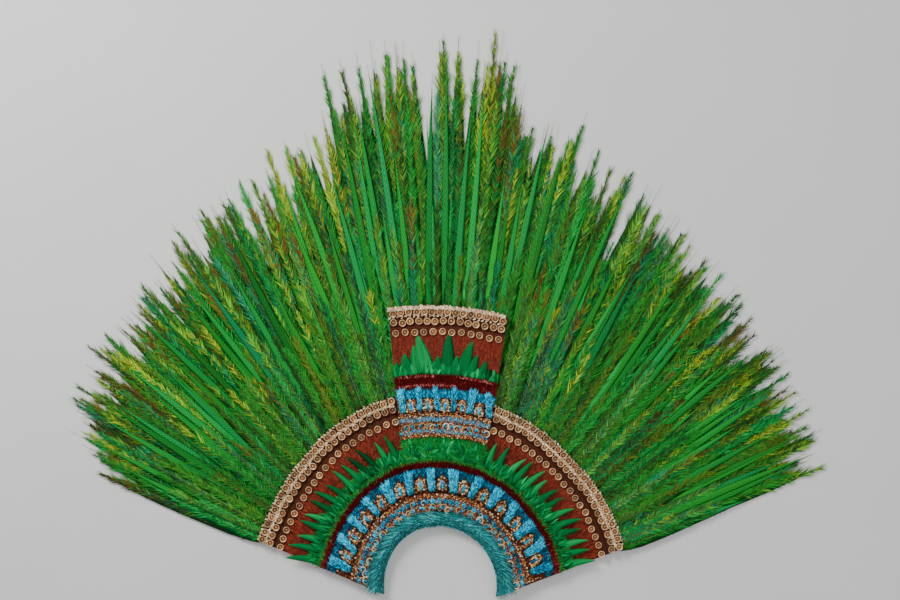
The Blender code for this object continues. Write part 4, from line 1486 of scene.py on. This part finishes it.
    def build_red_fringe(self) -> None:
        """Builds the hairy dark red fringe, pinker towards the crown's feet."""
        inner, outer = self.surface.blue_outer, self.surface.red_outer
        top = self.base_top + self.fringe_rise
        self.slab("fringe_ground", inner, outer, self.base_top, top, DARK_RED, "red_fringe")
        self.scatter(
            "fringe_hairs", DARK_RED, 5600, (inner - 0.001, outer - 0.006), top - 0.001, (0.011, 0.0015, 0.0014),
            middle=lambda share: 0.38 + 0.30 * np.clip(np.abs(share - 0.5) * 5 - 1.6, 0, 1), spread=0.15,
            wander=28.0, lift=0.005,
        )

    def build_green_band(self) -> None:
        """Builds fluffy green feathers, whose outer ones are long points over the rust band."""
        crown, leaf, low = self.surface, self.bench.leaf, self.base_top
        inner, outer, top = crown.red_outer + 0.0003, crown.green_outer - 0.001, low + self.green_rise
        self.slab("green_ground", inner, outer, low, top, DOWN_GREEN, "green_band")
        self.scatter(
            "green_down", DOWN_GREEN, 7400, (inner - 0.0055, outer - 0.006),
            lambda radius: low + 0.0098 + 0.0044 * np.clip((inner + 0.004 - radius) / 0.008, 0, 1),
            (0.013, 0.0022, 0.0020), wander=36.0, lift=0.004, middle=0.42, spread=0.22,
        )
        right, left = (crown.share(direction, outer) for direction in (crown.panel_right, crown.panel_left))
        self.scatter(
            "green_middle_down", DOWN_GREEN, 5600, (inner + 0.004, outer + 0.014), top + 0.0008,
            (0.017, 0.0028, 0.0022), zones=((right, left),), wander=50.0, lift=0.007, spread=0.17,
            middle=lambda share: 0.48 + 0.22 * np.sin(share * 190.0) * np.sin(share * 61.0),
        )
        self.scatter(
            "green_middle_leaves", LEAF_GREEN, 64, (inner + 0.002, outer + 0.004), top + 0.0036,
            (0.021, 0.0100, 0.0034), zones=((right, left),), pattern=leaf, wander=42.0, lift=0.003, middle=0.40,
            spread=0.28,
        )
        edges = stretch(0.0, 1.0, self.leaf_places + 1)
        middle = (edges[:-1] + edges[1:]) / 2
        shares = np.resize(self.leaf_shares, self.leaf_places)
        beside = (middle < right + 0.006) | (middle > left - 0.006)
        middle, shares = middle[beside], shares[beside]
        lean = self.hand.uniform(2.0, 9.0, middle.size) + np.where(np.abs(middle - 0.5) < 0.16, -10.0, 0.0)
        self.plant(
            "long_leaves", leaf, LEAF_GREEN, middle, inner + 0.006, low + 0.0112,
            (0.028 + 0.048 * shares, 0.0166, 0.0052), aim=lean, curl=self.hand.uniform(0.12, 0.28, middle.size),
            middle=0.38, spread=0.14, light=0.46, mirrored=True,
        )
        self.scatter(
            "short_leaves", LEAF_GREEN, 150, (inner + 0.002, inner + 0.014), low + 0.0124,
            (0.029, 0.0076, 0.0040), zones=crown.sides(outer, 0.0), pattern=leaf, aim=10.0, wander=15.0,
            middle=0.32, spread=0.20, mirrored=True,
        )

    def build_rust_band(self) -> None:
        """Builds the rust-red ground of straight feathers, which laps over the dark strip's inner part."""
        inner, outer, low = self.surface.green_outer, self.surface.rust_outer, self.base_top
        top = low + self.rust_rise
        self.slab("rust_ground", inner, outer, low, top, RUST, "rust_band")
        for name, count, radii, height, size, wander, spread in (
            ("feathers", 4800, (inner - 0.002, outer - 0.016), top - 0.0004, (0.026, 0.0022, 0.0008), 4.0, 0.22),
            ("lap", 3300, (outer - 0.034, outer + 0.003), low + 0.0060, (0.016, 0.0024, 0.0008), 5.0, 0.26),
        ):
            self.scatter(f"rust_{name}", RUST, count, radii, height, size, wander=wander, spread=spread)

    def build_discs(self) -> None:
        """Builds the dark strip with spaced discs, and the rim with its double row and pale braid."""
        crown, low, rim_low = self.surface, self.base_top, self.rim_low
        top, rim_top = low + self.strip_rise, rim_low + self.rim_rise
        self.slab("dark_strip", crown.rust_outer, crown.strip_outer, low, top, STRIP_WEAVE, "brown_strip")
        self.slab("rim_strip", crown.strip_outer, crown.rim_outer, rim_low, rim_top, STRIP_WEAVE, "gold_rim")
        spaced, inner, outer = crown.rust_outer + 0.0116, crown.strip_outer + 0.0108, crown.rim_outer - 0.0095
        for name, count, radius, height, size, margin in (
            ("spaced", 20, spaced, top, self.disc_width, 1.35),
            ("inner_rim", 24, inner, rim_top, self.rim_disc_width, 1.3),
            ("outer_rim", 25, outer, rim_top + 0.0016, self.rim_disc_width, 1.25),
        ):
            self.discs(f"{name}_discs", count, radius, height, size, crown.sides(radius, margin))
        zones = crown.sides(outer, 0.5)
        self.braid("rim_thread_middle", (inner + outer) / 2, rim_top + 0.0010, zones)
        self.braid("rim_thread_outer", crown.rim_outer - 0.0020, rim_top - 0.0016, zones, 0.0080)

    def build(self) -> None:
        """Builds every band of the crown, from the arch outwards."""
        steps = [f"gold_step_{number:02d}" for number in range(1, self.tuft_count)]
        self.atelier.dress_solids("crown_base", steps)
        self.build_edge_roll()
        self.build_mosaic_band()
        self.build_blue_band()
        self.build_red_fringe()
        self.build_green_band()
        self.build_rust_band()
        self.build_discs()


@dataclass
class RaisedPanel(Dresser):
    """The panel at the crown's middle, with its own short bands.

    Attributes:
        strip_steps: stretches that a strip is cut into.
        floor: height of the panel's base.
        carpet: how far the mosaic and the discs lie over it.
        bead_count: beads in each row.
        ring_count: wire rings.
        ring_margin: share of the width that the first ring keeps from the edge.
        tuft_count: cyan tufts.
        tuft_margin: how far the first tuft keeps from the edge.
        disc_margin: how far the first disc does.
        disc_width: width of a disc on the rim.
        points: share, length, width and lean of each long green leaf.
    """

    strip_steps: int = 40
    floor: float = 0.0190
    carpet: float = 0.0048
    bead_count: int = 46
    ring_count: int = 11
    ring_margin: float = 0.055
    tuft_count: int = 6
    tuft_margin: float = 0.0095
    disc_margin: float = 0.0105
    disc_width: float = 0.0178
    points: tuple = (
        (0.960, 0.040, 0.022, 4.0), (0.870, 0.058, 0.032, 5.0), (0.775, 0.076, 0.026, 6.0),
        (0.665, 0.104, 0.036, 15.0), (0.570, 0.050, 0.026, 4.0), (0.490, 0.107, 0.032, -1.0),
        (0.425, 0.052, 0.026, -6.0), (0.365, 0.092, 0.033, -15.0), (0.285, 0.062, 0.026, -17.0),
        (0.165, 0.052, 0.022, -10.0), (0.060, 0.026, 0.024, -6.0),
    )

    def build_grounds(self) -> None:
        """Builds the panel's own strips."""
        panel, low = self.surface, self.floor
        for name, inner, outer, thickness, finish in (
            ("mosaic_band", panel.foot, panel.mosaic_outer, 0.0042, STRIP_WEAVE),
            ("blue_band", panel.mosaic_outer, panel.blue_outer, 0.0044, STRIP_WEAVE),
            ("red_fringe", panel.blue_outer, panel.red_outer, 0.0060, DARK_RED),
            ("green_band", panel.red_outer, panel.green_outer, 0.0044, LEAF_GREEN),
            ("rust_band", panel.green_outer, panel.rust_outer, 0.0026, RUST),
            ("brown_strip", panel.rust_outer, panel.strip_outer, 0.0044, STRIP_WEAVE),
            ("gold_rim", panel.strip_outer, panel.head, 0.0046, STRIP_WEAVE),
        ):
            self.slab(f"panel_{name}_ground", inner, outer, low, low + thickness, finish, f"panel_{name}")

    def build_mosaic(self) -> None:
        """Builds rows of blue down, beads and rings at the panel's foot."""
        bench, foot, top = self.bench, self.surface.foot, self.floor + self.carpet
        for name, start, end, tone in (("a", 0.009, 0.017, 0.46), ("b", 0.036, 0.045, 0.56)):
            self.scatter(
                f"panel_blue_row_{name}", TUFT_BLUE, 640, (foot + start, foot + end), top - 0.001,
                (0.0062, 0.0020, 0.0022), wander=55.0, lift=0.003, middle=tone, spread=0.26,
            )
        self.scatter(
            "panel_mosaic_down", STEP_GOLD, 1500, (foot + 0.001, self.surface.mosaic_outer - 0.001), top - 0.0006,
            (0.0050, 0.0026, 0.0024), wander=80.0, lift=0.001, middle=0.27, spread=0.26,
        )
        for name, place in (("a", 0.002), ("b", 0.0065), ("c", 0.0490), ("d", 0.0535)):
            self.row(
                f"panel_beads_{name}", bench.stitch, STEP_GOLD, self.bead_count, foot + place, top - 0.0010,
                (0.0044, 0.0044, 0.0040), stray=0.0009, wander=90.0, middle=0.55, spread=0.28, jitter=0.2,
            )
        zone = (self.ring_margin, 1 - self.ring_margin)
        self.row(
            "panel_rings", bench.crescent, STEP_GOLD, self.ring_count, foot + 0.0180, top - 0.0005,
            (0.0170, 0.0165, 0.0044), zones=(zone,), stray=0.0008, wander=40.0, middle=0.80, spread=0.12,
        )
        self.tufts(
            "panel_ring_hearts", stretch(*zone, self.ring_count), (foot + 0.0225, foot + 0.0290), 0.0038,
            top - 0.001, 0.0022, 30, length=0.0045, wander=60.0, middle=0.42, spread=0.25,
        )

    def build_tufts(self) -> None:
        """Builds the panel's tufts and arches on their ground of down."""
        inner, outer, top = self.surface.mosaic_outer, self.surface.blue_outer, self.floor + self.carpet
        self.scatter(
            "panel_blue_down", TUFT_BLUE, 1700, (inner + 0.034, outer - 0.006), top - 0.001,
            (0.011, 0.0021, 0.0020), wander=20.0, lift=0.003, middle=0.40, spread=0.24,
        )
        self.brown_down("panel_brown_down", 420, inner, top)
        edge = self.tuft_margin / self.surface.foot_half / 2
        places = stretch(edge, 1.0 - edge, self.tuft_count)
        self.tufts("panel_tufts", places, (inner + 0.005, outer - 0.006), 0.0070, top, 0.0075, 300)
        self.arches("panel_steps", (places[:-1] + places[1:]) / 2, inner + 0.0015, top + 0.0030, 0.92)

    def build_fringe(self) -> None:
        """Builds the red fringe, whose hairs point both ways, and the pink ones along its edges."""
        low, inner, outer = self.floor, self.surface.blue_outer, self.surface.red_outer
        for name, radii, aim in (
            ("outer", (inner + 0.008, outer - 0.007), 0.0),
            ("inner", (inner + 0.004, outer - 0.012), 180.0),
        ):
            self.scatter(
                f"panel_fringe_{name}", DARK_RED, 2400, radii, low + 0.0062, (0.0125, 0.0017, 0.0016),
                zones=((0.0, 1.0),), aim=aim, wander=18.0, lift=0.003, spread=0.18,
                middle=lambda share: 0.34 + 0.16 * np.clip(np.abs(share - 0.5) * 10 - 4.2, 0, 1),
            )
        for name, radii, zones, aim in (
            ("outer", (outer - 0.0055, outer - 0.0025), ((0.04, 0.40), (0.62, 0.97)), 0.0),
            ("inner", (inner + 0.0035, inner + 0.0065), ((0.40, 0.97),), 180.0),
        ):
            self.scatter(
                f"panel_pink_{name}", DARK_RED, 140, radii, low + 0.0074, (0.0070, 0.0014, 0.0014),
                zones=zones, aim=aim, wander=26.0, lift=0.002, middle=0.84, spread=0.14,
            )
        LOG.info("panel's lower part done, hand at %.3f", self.hand.uniform())

    def build_rust(self) -> None:
        """Builds two layers of rust-red feathers."""
        inner, outer, low = self.surface.green_outer, self.surface.rust_outer, self.floor
        for name, count, radii, height, length in (
            ("rust", 2600, (inner - 0.006, outer - 0.030), low + 0.0032, 0.038),
            ("lap", 1700, (outer - 0.040, outer + 0.004), low + 0.0044, 0.022),
        ):
            size = (length, 0.0022, 0.0009)
            self.scatter(f"panel_{name}_feathers", RUST, count, radii, height, size, wander=2.5, spread=0.25)

    def build_points(self) -> None:
        """Builds the green points, tall ones among low ones, over the rust ground."""
        foot, low, leaf = self.surface.red_outer, self.floor, self.bench.leaf
        share, length, width, lean = np.array(self.points).T
        self.plant(
            "panel_long_leaves", leaf, LEAF_GREEN, share, foot - 0.004, low + 0.0046, (length, width, 0.0040),
            aim=lean, middle=0.38, spread=0.10, light=0.44,
        )
        self.scatter(
            "panel_short_leaves", LEAF_GREEN, 70, (foot - 0.004, foot + 0.004), low + 0.0048,
            (0.028, 0.0120, 0.0036), pattern=leaf, wander=12.0, middle=0.42, spread=0.18,
        )

    def build_discs(self) -> None:
        """Builds the three rows of discs and the pale braids between and beside them."""
        panel, top = self.surface, self.floor + self.carpet
        edge = self.disc_margin / panel.head_half / 2
        zones = ((edge, 1.0 - edge),)
        self.discs(
            "panel_spaced_discs", 12, panel.rust_outer + 0.0130, top, 0.0172, ((edge * 1.3, 1.0 - edge * 1.3),)
        )
        self.discs("panel_inner_discs", 14, panel.strip_outer + 0.0100, top, self.disc_width, zones)
        self.discs("panel_outer_discs", 15, panel.head - 0.0115, top + 0.0016, self.disc_width, zones)
        for name, place, height, margin, gap in (
            ("middle", -0.0200, 0.0002, 0.02, 0.0090),
            ("outer", -0.0032, -0.0006, 0.015, 0.0030),
            ("edge", 0.0006, -0.0030, 0.015, 0.0034),
        ):
            self.braid(f"panel_thread_{name}", panel.head + place, top + height, ((margin, 1 - margin),), gap)

    def build(self) -> None:
        """Builds the panel's bands, from its foot outwards."""
        steps = [f"panel_gold_step_{number}" for number in range(1, self.tuft_count)]
        self.atelier.dress_solids("panel_base", steps)
        self.build_grounds()
        self.build_mosaic()
        self.build_tufts()
        self.build_fringe()
        self.build_rust()
        self.build_points()
        self.build_discs()


@dataclass(frozen=True)
class PlumeLayer:
    """One layer of a fan's plumes.

    Attributes:
        name: what the layer is called in the pieces' names.
        count: plumes per degree of the fan.
        reach: lowest and highest share of the way from the rim to the fan's edge that the plumes have.
        width: a plume's width.
        heights: height of the root and of the tip.
        spacing: distance between two barbs, or 0 for closed plumes.
        start: share of a plume's length at which its barbs begin, where other layers cover it up to there.
        tones: the part of the fan's mix of colours that the layer keeps to.
    """

    name: str
    count: float
    reach: tuple[float, float]
    width: float
    heights: tuple[float, float]
    spacing: float
    start: float
    tones: tuple[float, float]


LAYERS = (
    PlumeLayer("under", 2.10, (0.84, 1.05), 0.044, (0.0030, 0.0020), 0.0052, 0.32, (0.00, 1.00)),
    PlumeLayer("middle", 1.50, (0.50, 0.96), 0.038, (0.0060, 0.0045), 0.0047, 0.08, (0.04, 0.97)),
    PlumeLayer("closed", 0.80, (0.34, 0.98), 0.018, (0.0078, 0.0060), 0.0, 0.0, (0.44, 0.80)),
    PlumeLayer("upper", 1.15, (0.20, 0.60), 0.036, (0.0104, 0.0084), 0.0041, 0.02, (0.06, 0.96)),
)


@dataclass(frozen=True)
class FanOutline:
    """Where a part of the fan lies and how far its plumes reach.

    Attributes:
        side: which part it is.
        right: direction of its right edge.
        left: direction of its left edge.
        places: shares from its right edge to its left.
        reaches: how far the longest plumes reach there, from the pivot.
        tones: lowest and highest place in the mix of colours.
        inset: how far the outermost plumes keep from the right and the left edge.
    """

    side: Side
    right: float
    left: float
    places: tuple[float, ...]
    reaches: tuple[float, ...]
    tones: tuple[float, float]
    inset: tuple[float, float]

    def reach(self, direction: np.ndarray) -> np.ndarray:
        """The longest plumes' reach at a direction."""
        return np.interp((direction - self.right) / (self.left - self.right), self.places, self.reaches)


@dataclass
class Fan:
    """One part of the fan: layers of plumes, with a quill, a core darkened as painted shade under the barbs, and
    many barbs, or closed.

    Attributes:
        atelier: the patterns and the finishes.
        outline: the part's outline.
        seed: seed of the hand that scatters plumes.
        root_radius: radius of the plumes' roots.
        mix: places in the mix of colours.
        colours: the finish's colour place at each.
        barb_angle: angle between a quill and its barbs at its root.
        barb_closing: how much less it is at its tip.
        barb_reach: shortest and longest barb.
        strays: colour places that a plume's stray barbs may have.
        edge_plumes: plumes at each edge of a layer that have barbs from the root on.
        edge_start: share of their length at which those begin.
    """

    atelier: Atelier
    outline: FanOutline
    seed: int
    root_radius: float = 0.425
    mix: tuple[float, ...] = (0.00, 0.10, 0.24, 0.62, 0.78, 0.84, 1.00)
    colours: tuple[float, ...] = (0.02, 0.20, 0.38, 0.54, 0.66, 0.78, 0.95)
    barb_angle: float = 46.0
    barb_closing: float = 24.0
    barb_reach: tuple[float, float] = (0.005, 0.048)
    strays: tuple[float, ...] = (0.18, 0.30, 0.88, 0.94, 1.0)
    edge_plumes: int = 3
    edge_start: float = 0.02

    def __post_init__(self) -> None:
        """Seeds the hand."""
        self.hand = np.random.default_rng(self.seed)

    def plumes(self, layer: PlumeLayer) -> dict[str, np.ndarray]:
        """Places a layer's plumes.

        Args:
            layer: the layer.

        Returns:
            Foot, unit vector, length, bend and colour of each plume.
        """
        hand, outline, crown = self.hand, self.outline, self.atelier.crown
        count = int(layer.count * (outline.left - outline.right))
        direction = stretch(outline.right + outline.inset[0], outline.left - outline.inset[1], count)
        direction = direction + hand.uniform(-0.5, 0.5, count)
        foot = crown.point(direction, self.root_radius, layer.heights[0])
        foot[:, 2] += hand.uniform(0, 0.0015, count)
        free = outline.reach(direction) - crown.reach(direction, np.full(count, self.root_radius))
        low, high = layer.reach
        length = free * (low + (high - low) * hand.uniform(size=count) ** 0.6)
        angle = np.radians(direction + hand.normal(0, 0.9, count))
        forward = np.stack((np.cos(angle), np.sin(angle), np.zeros(count)), axis=-1)
        bend = hand.normal(0, 0.018, count) * length
        darkest, palest = layer.tones
        mix = darkest + (palest - darkest) * hand.uniform(*outline.tones, count)
        light = np.clip(hand.normal(0.5, 0.17, count), 0, 1)
        tint = np.stack((np.interp(mix, self.mix, self.colours), light), axis=-1)
        return {"foot": foot, "forward": forward, "length": length, "bend": bend, "tint": tint}

    def grow(
        self, layer: PlumeLayer, start: float, foot: np.ndarray, forward: np.ndarray, length: float,
        bend: float, tint: np.ndarray,
    ) -> tuple[np.ndarray, ...]:
        """Grows the barbs on both sides of one quill.

        Args:
            layer: the plume's layer.
            start: share of its length at which the barbs begin.
            foot: where it starts.
            forward: unit vector along it.
            length: how long it is.
            bend: how far its tip is bent to the left.
            tint: its colour place and light.

        Returns:
            Foot, unit vector, length, colour place and light of each barb.
        """
        hand = self.hand
        rows = int(length * (1.0 - start) / layer.spacing)
        both = 2 * rows
        bare = hand.uniform(0.0, 0.06) if hand.uniform() < 0.7 else hand.uniform(0.06, 0.16)
        share = np.repeat(stretch(start, 1.0 - bare, rows), 2) + hand.uniform(-0.3, 0.3, both) / rows
        share = np.clip(share, 0.01, 1.0)
        side, left = np.tile((-1.0, 1.0), rows), left_of(forward)
        spot = foot + forward * (share * length)[:, None] + left * (bend * share**2)[:, None]
        spot[:, 2] += (layer.heights[1] - layer.heights[0]) * share
        slope = unit(forward * length + left * (2 * bend * share)[:, None])
        angle = self.barb_angle - self.barb_closing * share + hand.normal(0, 5.0, both)
        taper = np.clip(share / 0.06, 0.25, 1.0) * np.clip((1.0 - bare - share) / 0.10, 0.25, 1.0) ** 0.6
        turns = share * length * 130 + side * 0.8
        fast, slow = (np.sin(turns * rate + hand.uniform(0, 6)) for rate in (1.0, 0.37))
        clump = 0.72 + 0.28 * fast + 0.22 * slow
        breadth = layer.width / 2 / np.sin(np.radians(angle + 8.0))
        reach = np.clip(breadth * taper * clump * hand.uniform(0.75, 1.1, both), *self.barb_reach)
        speckled = hand.uniform() < 0.40
        stray = hand.uniform(size=both) < np.clip((share - 0.50) / 0.45, 0, 0.85) * speckled
        tone = np.where(stray, hand.choice(self.strays), tint[0]) + hand.normal(0, 0.035, both)
        # Barbs turned to the quill's left are 0.16 darker: painted shade, so that the two sides of a plume look
        # lit differently.
        light = tint[1] + hand.normal(0, 0.17, both) - 0.16 * (side > 0) + 0.16 * (clump - 0.72)
        light = np.where(hand.uniform(size=both) < 0.12, light - 0.35, light)
        return spot, turned(slope, side * angle), reach, np.clip(tone, 0, 1), np.clip(light, 0, 1)

    def barbs(self, layer: PlumeLayer, plumes: dict[str, np.ndarray]) -> bpy.types.Object:
        """Joins the barbs of every quill in a layer.

        Args:
            layer: the layer.
            plumes: its plumes.

        Returns:
            All barbs of the layer, joined.
        """
        hand, grown = self.hand, []
        last = len(plumes["length"]) - 1
        for number, plume in enumerate(zip(*plumes.values())):
            inside = self.edge_plumes < number < last - self.edge_plumes
            grown.append(self.grow(layer, layer.start if inside else self.edge_start, *plume))
        foot, forward, length, tone, light = (np.concatenate(values) for values in zip(*grown))
        count = len(foot)
        across = -left_of(forward) * hand.uniform(0.0022, 0.0034, count)[:, None]
        along = forward * length[:, None] + UP * hand.uniform(-0.0012, 0.0016, count)[:, None]
        return self.atelier.bench.barb.copies(
            f"{self.outline.side.value}_{layer.name}_barbs", foot, across, along,
            UP * hand.uniform(0.0010, 0.0020, count)[:, None], np.stack((tone, light), axis=-1),
            np.zeros((count, 3)),
        )

    def shafts(
        self, layer: PlumeLayer, plumes: dict[str, np.ndarray], part: str, pattern: Pattern,
        size: tuple[float, float], drop: float, tint: np.ndarray, reach: float = 1.0,
    ) -> bpy.types.Object:
        """Lays one copy of a pattern along every plume of a layer.

        Args:
            layer: the layer.
            plumes: its plumes.
            part: what the pieces are called.
            pattern: what is copied.
            size: width and height of the copies.
            drop: how far above the plume's foot they lie.
            tint: colour place and light of each copy.
            reach: length against the plume's.

        Returns:
            All copies, joined.
        """
        left = left_of(plumes["forward"])
        along = plumes["forward"] * plumes["length"][:, None] * reach
        along[:, 2] = layer.heights[1] - layer.heights[0]
        return pattern.copies(
            f"{self.outline.side.value}_{layer.name}_{part}", plumes["foot"] + UP * drop, -left * size[0], along,
            np.tile(UP * size[1], (len(left), 1)), tint, left * (plumes["bend"] * reach**2)[:, None],
        )

    def build(self) -> None:
        """Builds every layer; together they stand for the part's solid."""
        bench, dress, solid = self.atelier.bench, self.atelier.dress, self.outline.side.value
        for layer in LAYERS:
            plumes = self.plumes(layer)
            tint = plumes["tint"]
            if layer.spacing:
                dress(self.barbs(layer, plumes), PLUMES, solid)
                # The vanes keep each plume's colour at 0.3 of its light: the feather's own closed vane, darkened
                # as painted shade between and under the barbs.
                size, dark = (layer.width * 0.80, 0.0012), tint * (1.0, 0.3)
                dress(self.shafts(layer, plumes, "vanes", bench.vane, size, -0.0009, dark, 0.93), BLADES)
            else:
                size = (layer.width, 0.0028)
                dress(self.shafts(layer, plumes, "blades", bench.blade, size, 0.0, tint), BLADES, solid)
            pale = np.stack((np.clip(self.hand.normal(0.4, 0.25, len(tint)), 0, 1), tint[:, 1]), axis=-1)
            dress(self.shafts(layer, plumes, "quills", bench.quill, (0.0026, 0.0022), 0.0010, pale, 1.01), QUILLS)


RIGHT_FAN = FanOutline(
    Side.RIGHT, 20.8, 74.85,
    (0.00, 0.10, 0.25, 0.32, 0.47, 0.61, 0.73, 0.80, 0.95, 1.00),
    (0.950, 0.978, 0.972, 0.990, 1.014, 1.044, 1.080, 1.104, 1.126, 1.150),
    (0.12, 1.00), (0.7, 0.0),
)
CREST_FAN = FanOutline(
    Side.CREST, 75.0, 102.2,
    (0.00, 0.04, 0.19, 0.26, 0.33, 0.48, 0.63, 0.77, 0.92, 1.00),
    (1.200, 1.215, 1.218, 1.330, 1.342, 1.325, 1.300, 1.325, 1.280, 1.290),
    (0.16, 1.00), (0.1, 0.1),
)
LEFT_FAN = FanOutline(
    Side.LEFT, 102.35, 157.0,
    (0.00, 0.03, 0.14, 0.21, 0.32, 0.43, 0.51, 0.58, 0.65, 0.69, 0.80, 0.91, 0.95, 1.00),
    (1.200, 1.160, 1.150, 1.110, 1.090, 1.092, 1.030, 1.040, 0.990, 1.020, 0.986, 0.982, 0.936, 0.926),
    (0.08, 1.00), (0.0, 0.7),
)


@dataclass
class Studio:
    """The pale floor, the soft lights and the camera above the headdress.

    Attributes:
        pixel: metres that one pixel of the 900 by 600 view covers on the headdress.
        shift: where the middle of the view lies from the middle of the headdress.
        distance: height of the camera.
        view_width: pixels across the view.
        clip_end: how far the camera sees.
        floor_size: width of the floor.
        floor_height: its height, just under the headdress.
        world_light: strength of the surroundings.
        world_colour: their colour.
        lights: name, place, size and power of each lamp.
    """

    pixel: float = 0.002342
    shift: tuple[float, float] = (-0.0123, 0.0428)
    distance: float = 6.0
    view_width: int = 900
    clip_end: float = 60.0
    floor_size: float = 24.0
    floor_height: float = -0.0006
    world_light: float = 0.36
    world_colour: tuple[float, ...] = (0.92, 0.95, 1.0, 1.0)
    lights: tuple = (
        ("key", (-2.0, 2.1, 2.2), 1.3, 122.0),
        ("fill", (2.4, 0.4, 2.6), 2.6, 26.0),
        ("top", (0.0, -1.8, 3.2), 2.4, 24.0),
    )

    def build(self) -> None:
        """Sets up the floor, the pale surroundings, the lights and the camera."""
        start_clean()
        bpy.ops.mesh.primitive_plane_add(size=self.floor_size, location=(0, 0, self.floor_height))
        floor = bpy.context.object
        bpy.ops.object.transform_apply(location=True)
        floor.name = "floor"
        floor.data.materials.append(StageFinish().make())
        world = bpy.data.worlds.new("soft_room")
        world.use_nodes = True
        background = world.node_tree.nodes["Background"]
        background.inputs["Color"].default_value = self.world_colour
        background.inputs["Strength"].default_value = self.world_light
        bpy.context.scene.world = world
        for name, (x, y, z), size, power in self.lights:
            bpy.ops.object.light_add(type="AREA", location=(x, y, z))
            lamp = bpy.context.object
            lamp.name, lamp.data.size, lamp.data.energy = name, size, power
            lamp.rotation_euler = (math.atan2(math.hypot(x, y), z), 0.0, math.atan2(-y, -x) - math.pi / 2)
        self.place_camera()

    def place_camera(self) -> None:
        """Hangs the camera straight above, as wide as the photograph's frame."""
        bpy.ops.object.camera_add(location=(*self.shift, self.distance), rotation=(0, 0, 0))
        camera = bpy.context.object
        camera.name = "camera"
        camera.data.lens = camera.data.sensor_width * self.distance / (self.view_width * self.pixel)
        camera.data.clip_end = self.clip_end
        bpy.context.scene.camera = camera


def main() -> None:
    """Builds the scene in order."""
    logging.basicConfig(level=logging.INFO, format="%(message)s")
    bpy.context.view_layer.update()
    Studio().build()
    mount = next(entry for entry in frame["record"]["mounts"] if entry["name"] == "head_arch")
    atelier = Atelier(Crown(centre=(mount["pos_m"][0], mount["pos_m"][1])))
    CrownBands(atelier, atelier.crown, 41).build()
    RaisedPanel(atelier, atelier.panel, 57).build()
    for seed, outline in ((71, RIGHT_FAN), (73, CREST_FAN), (79, LEFT_FAN)):
        Fan(atelier, outline, seed).build()


if __name__ == "__main__":
    main()
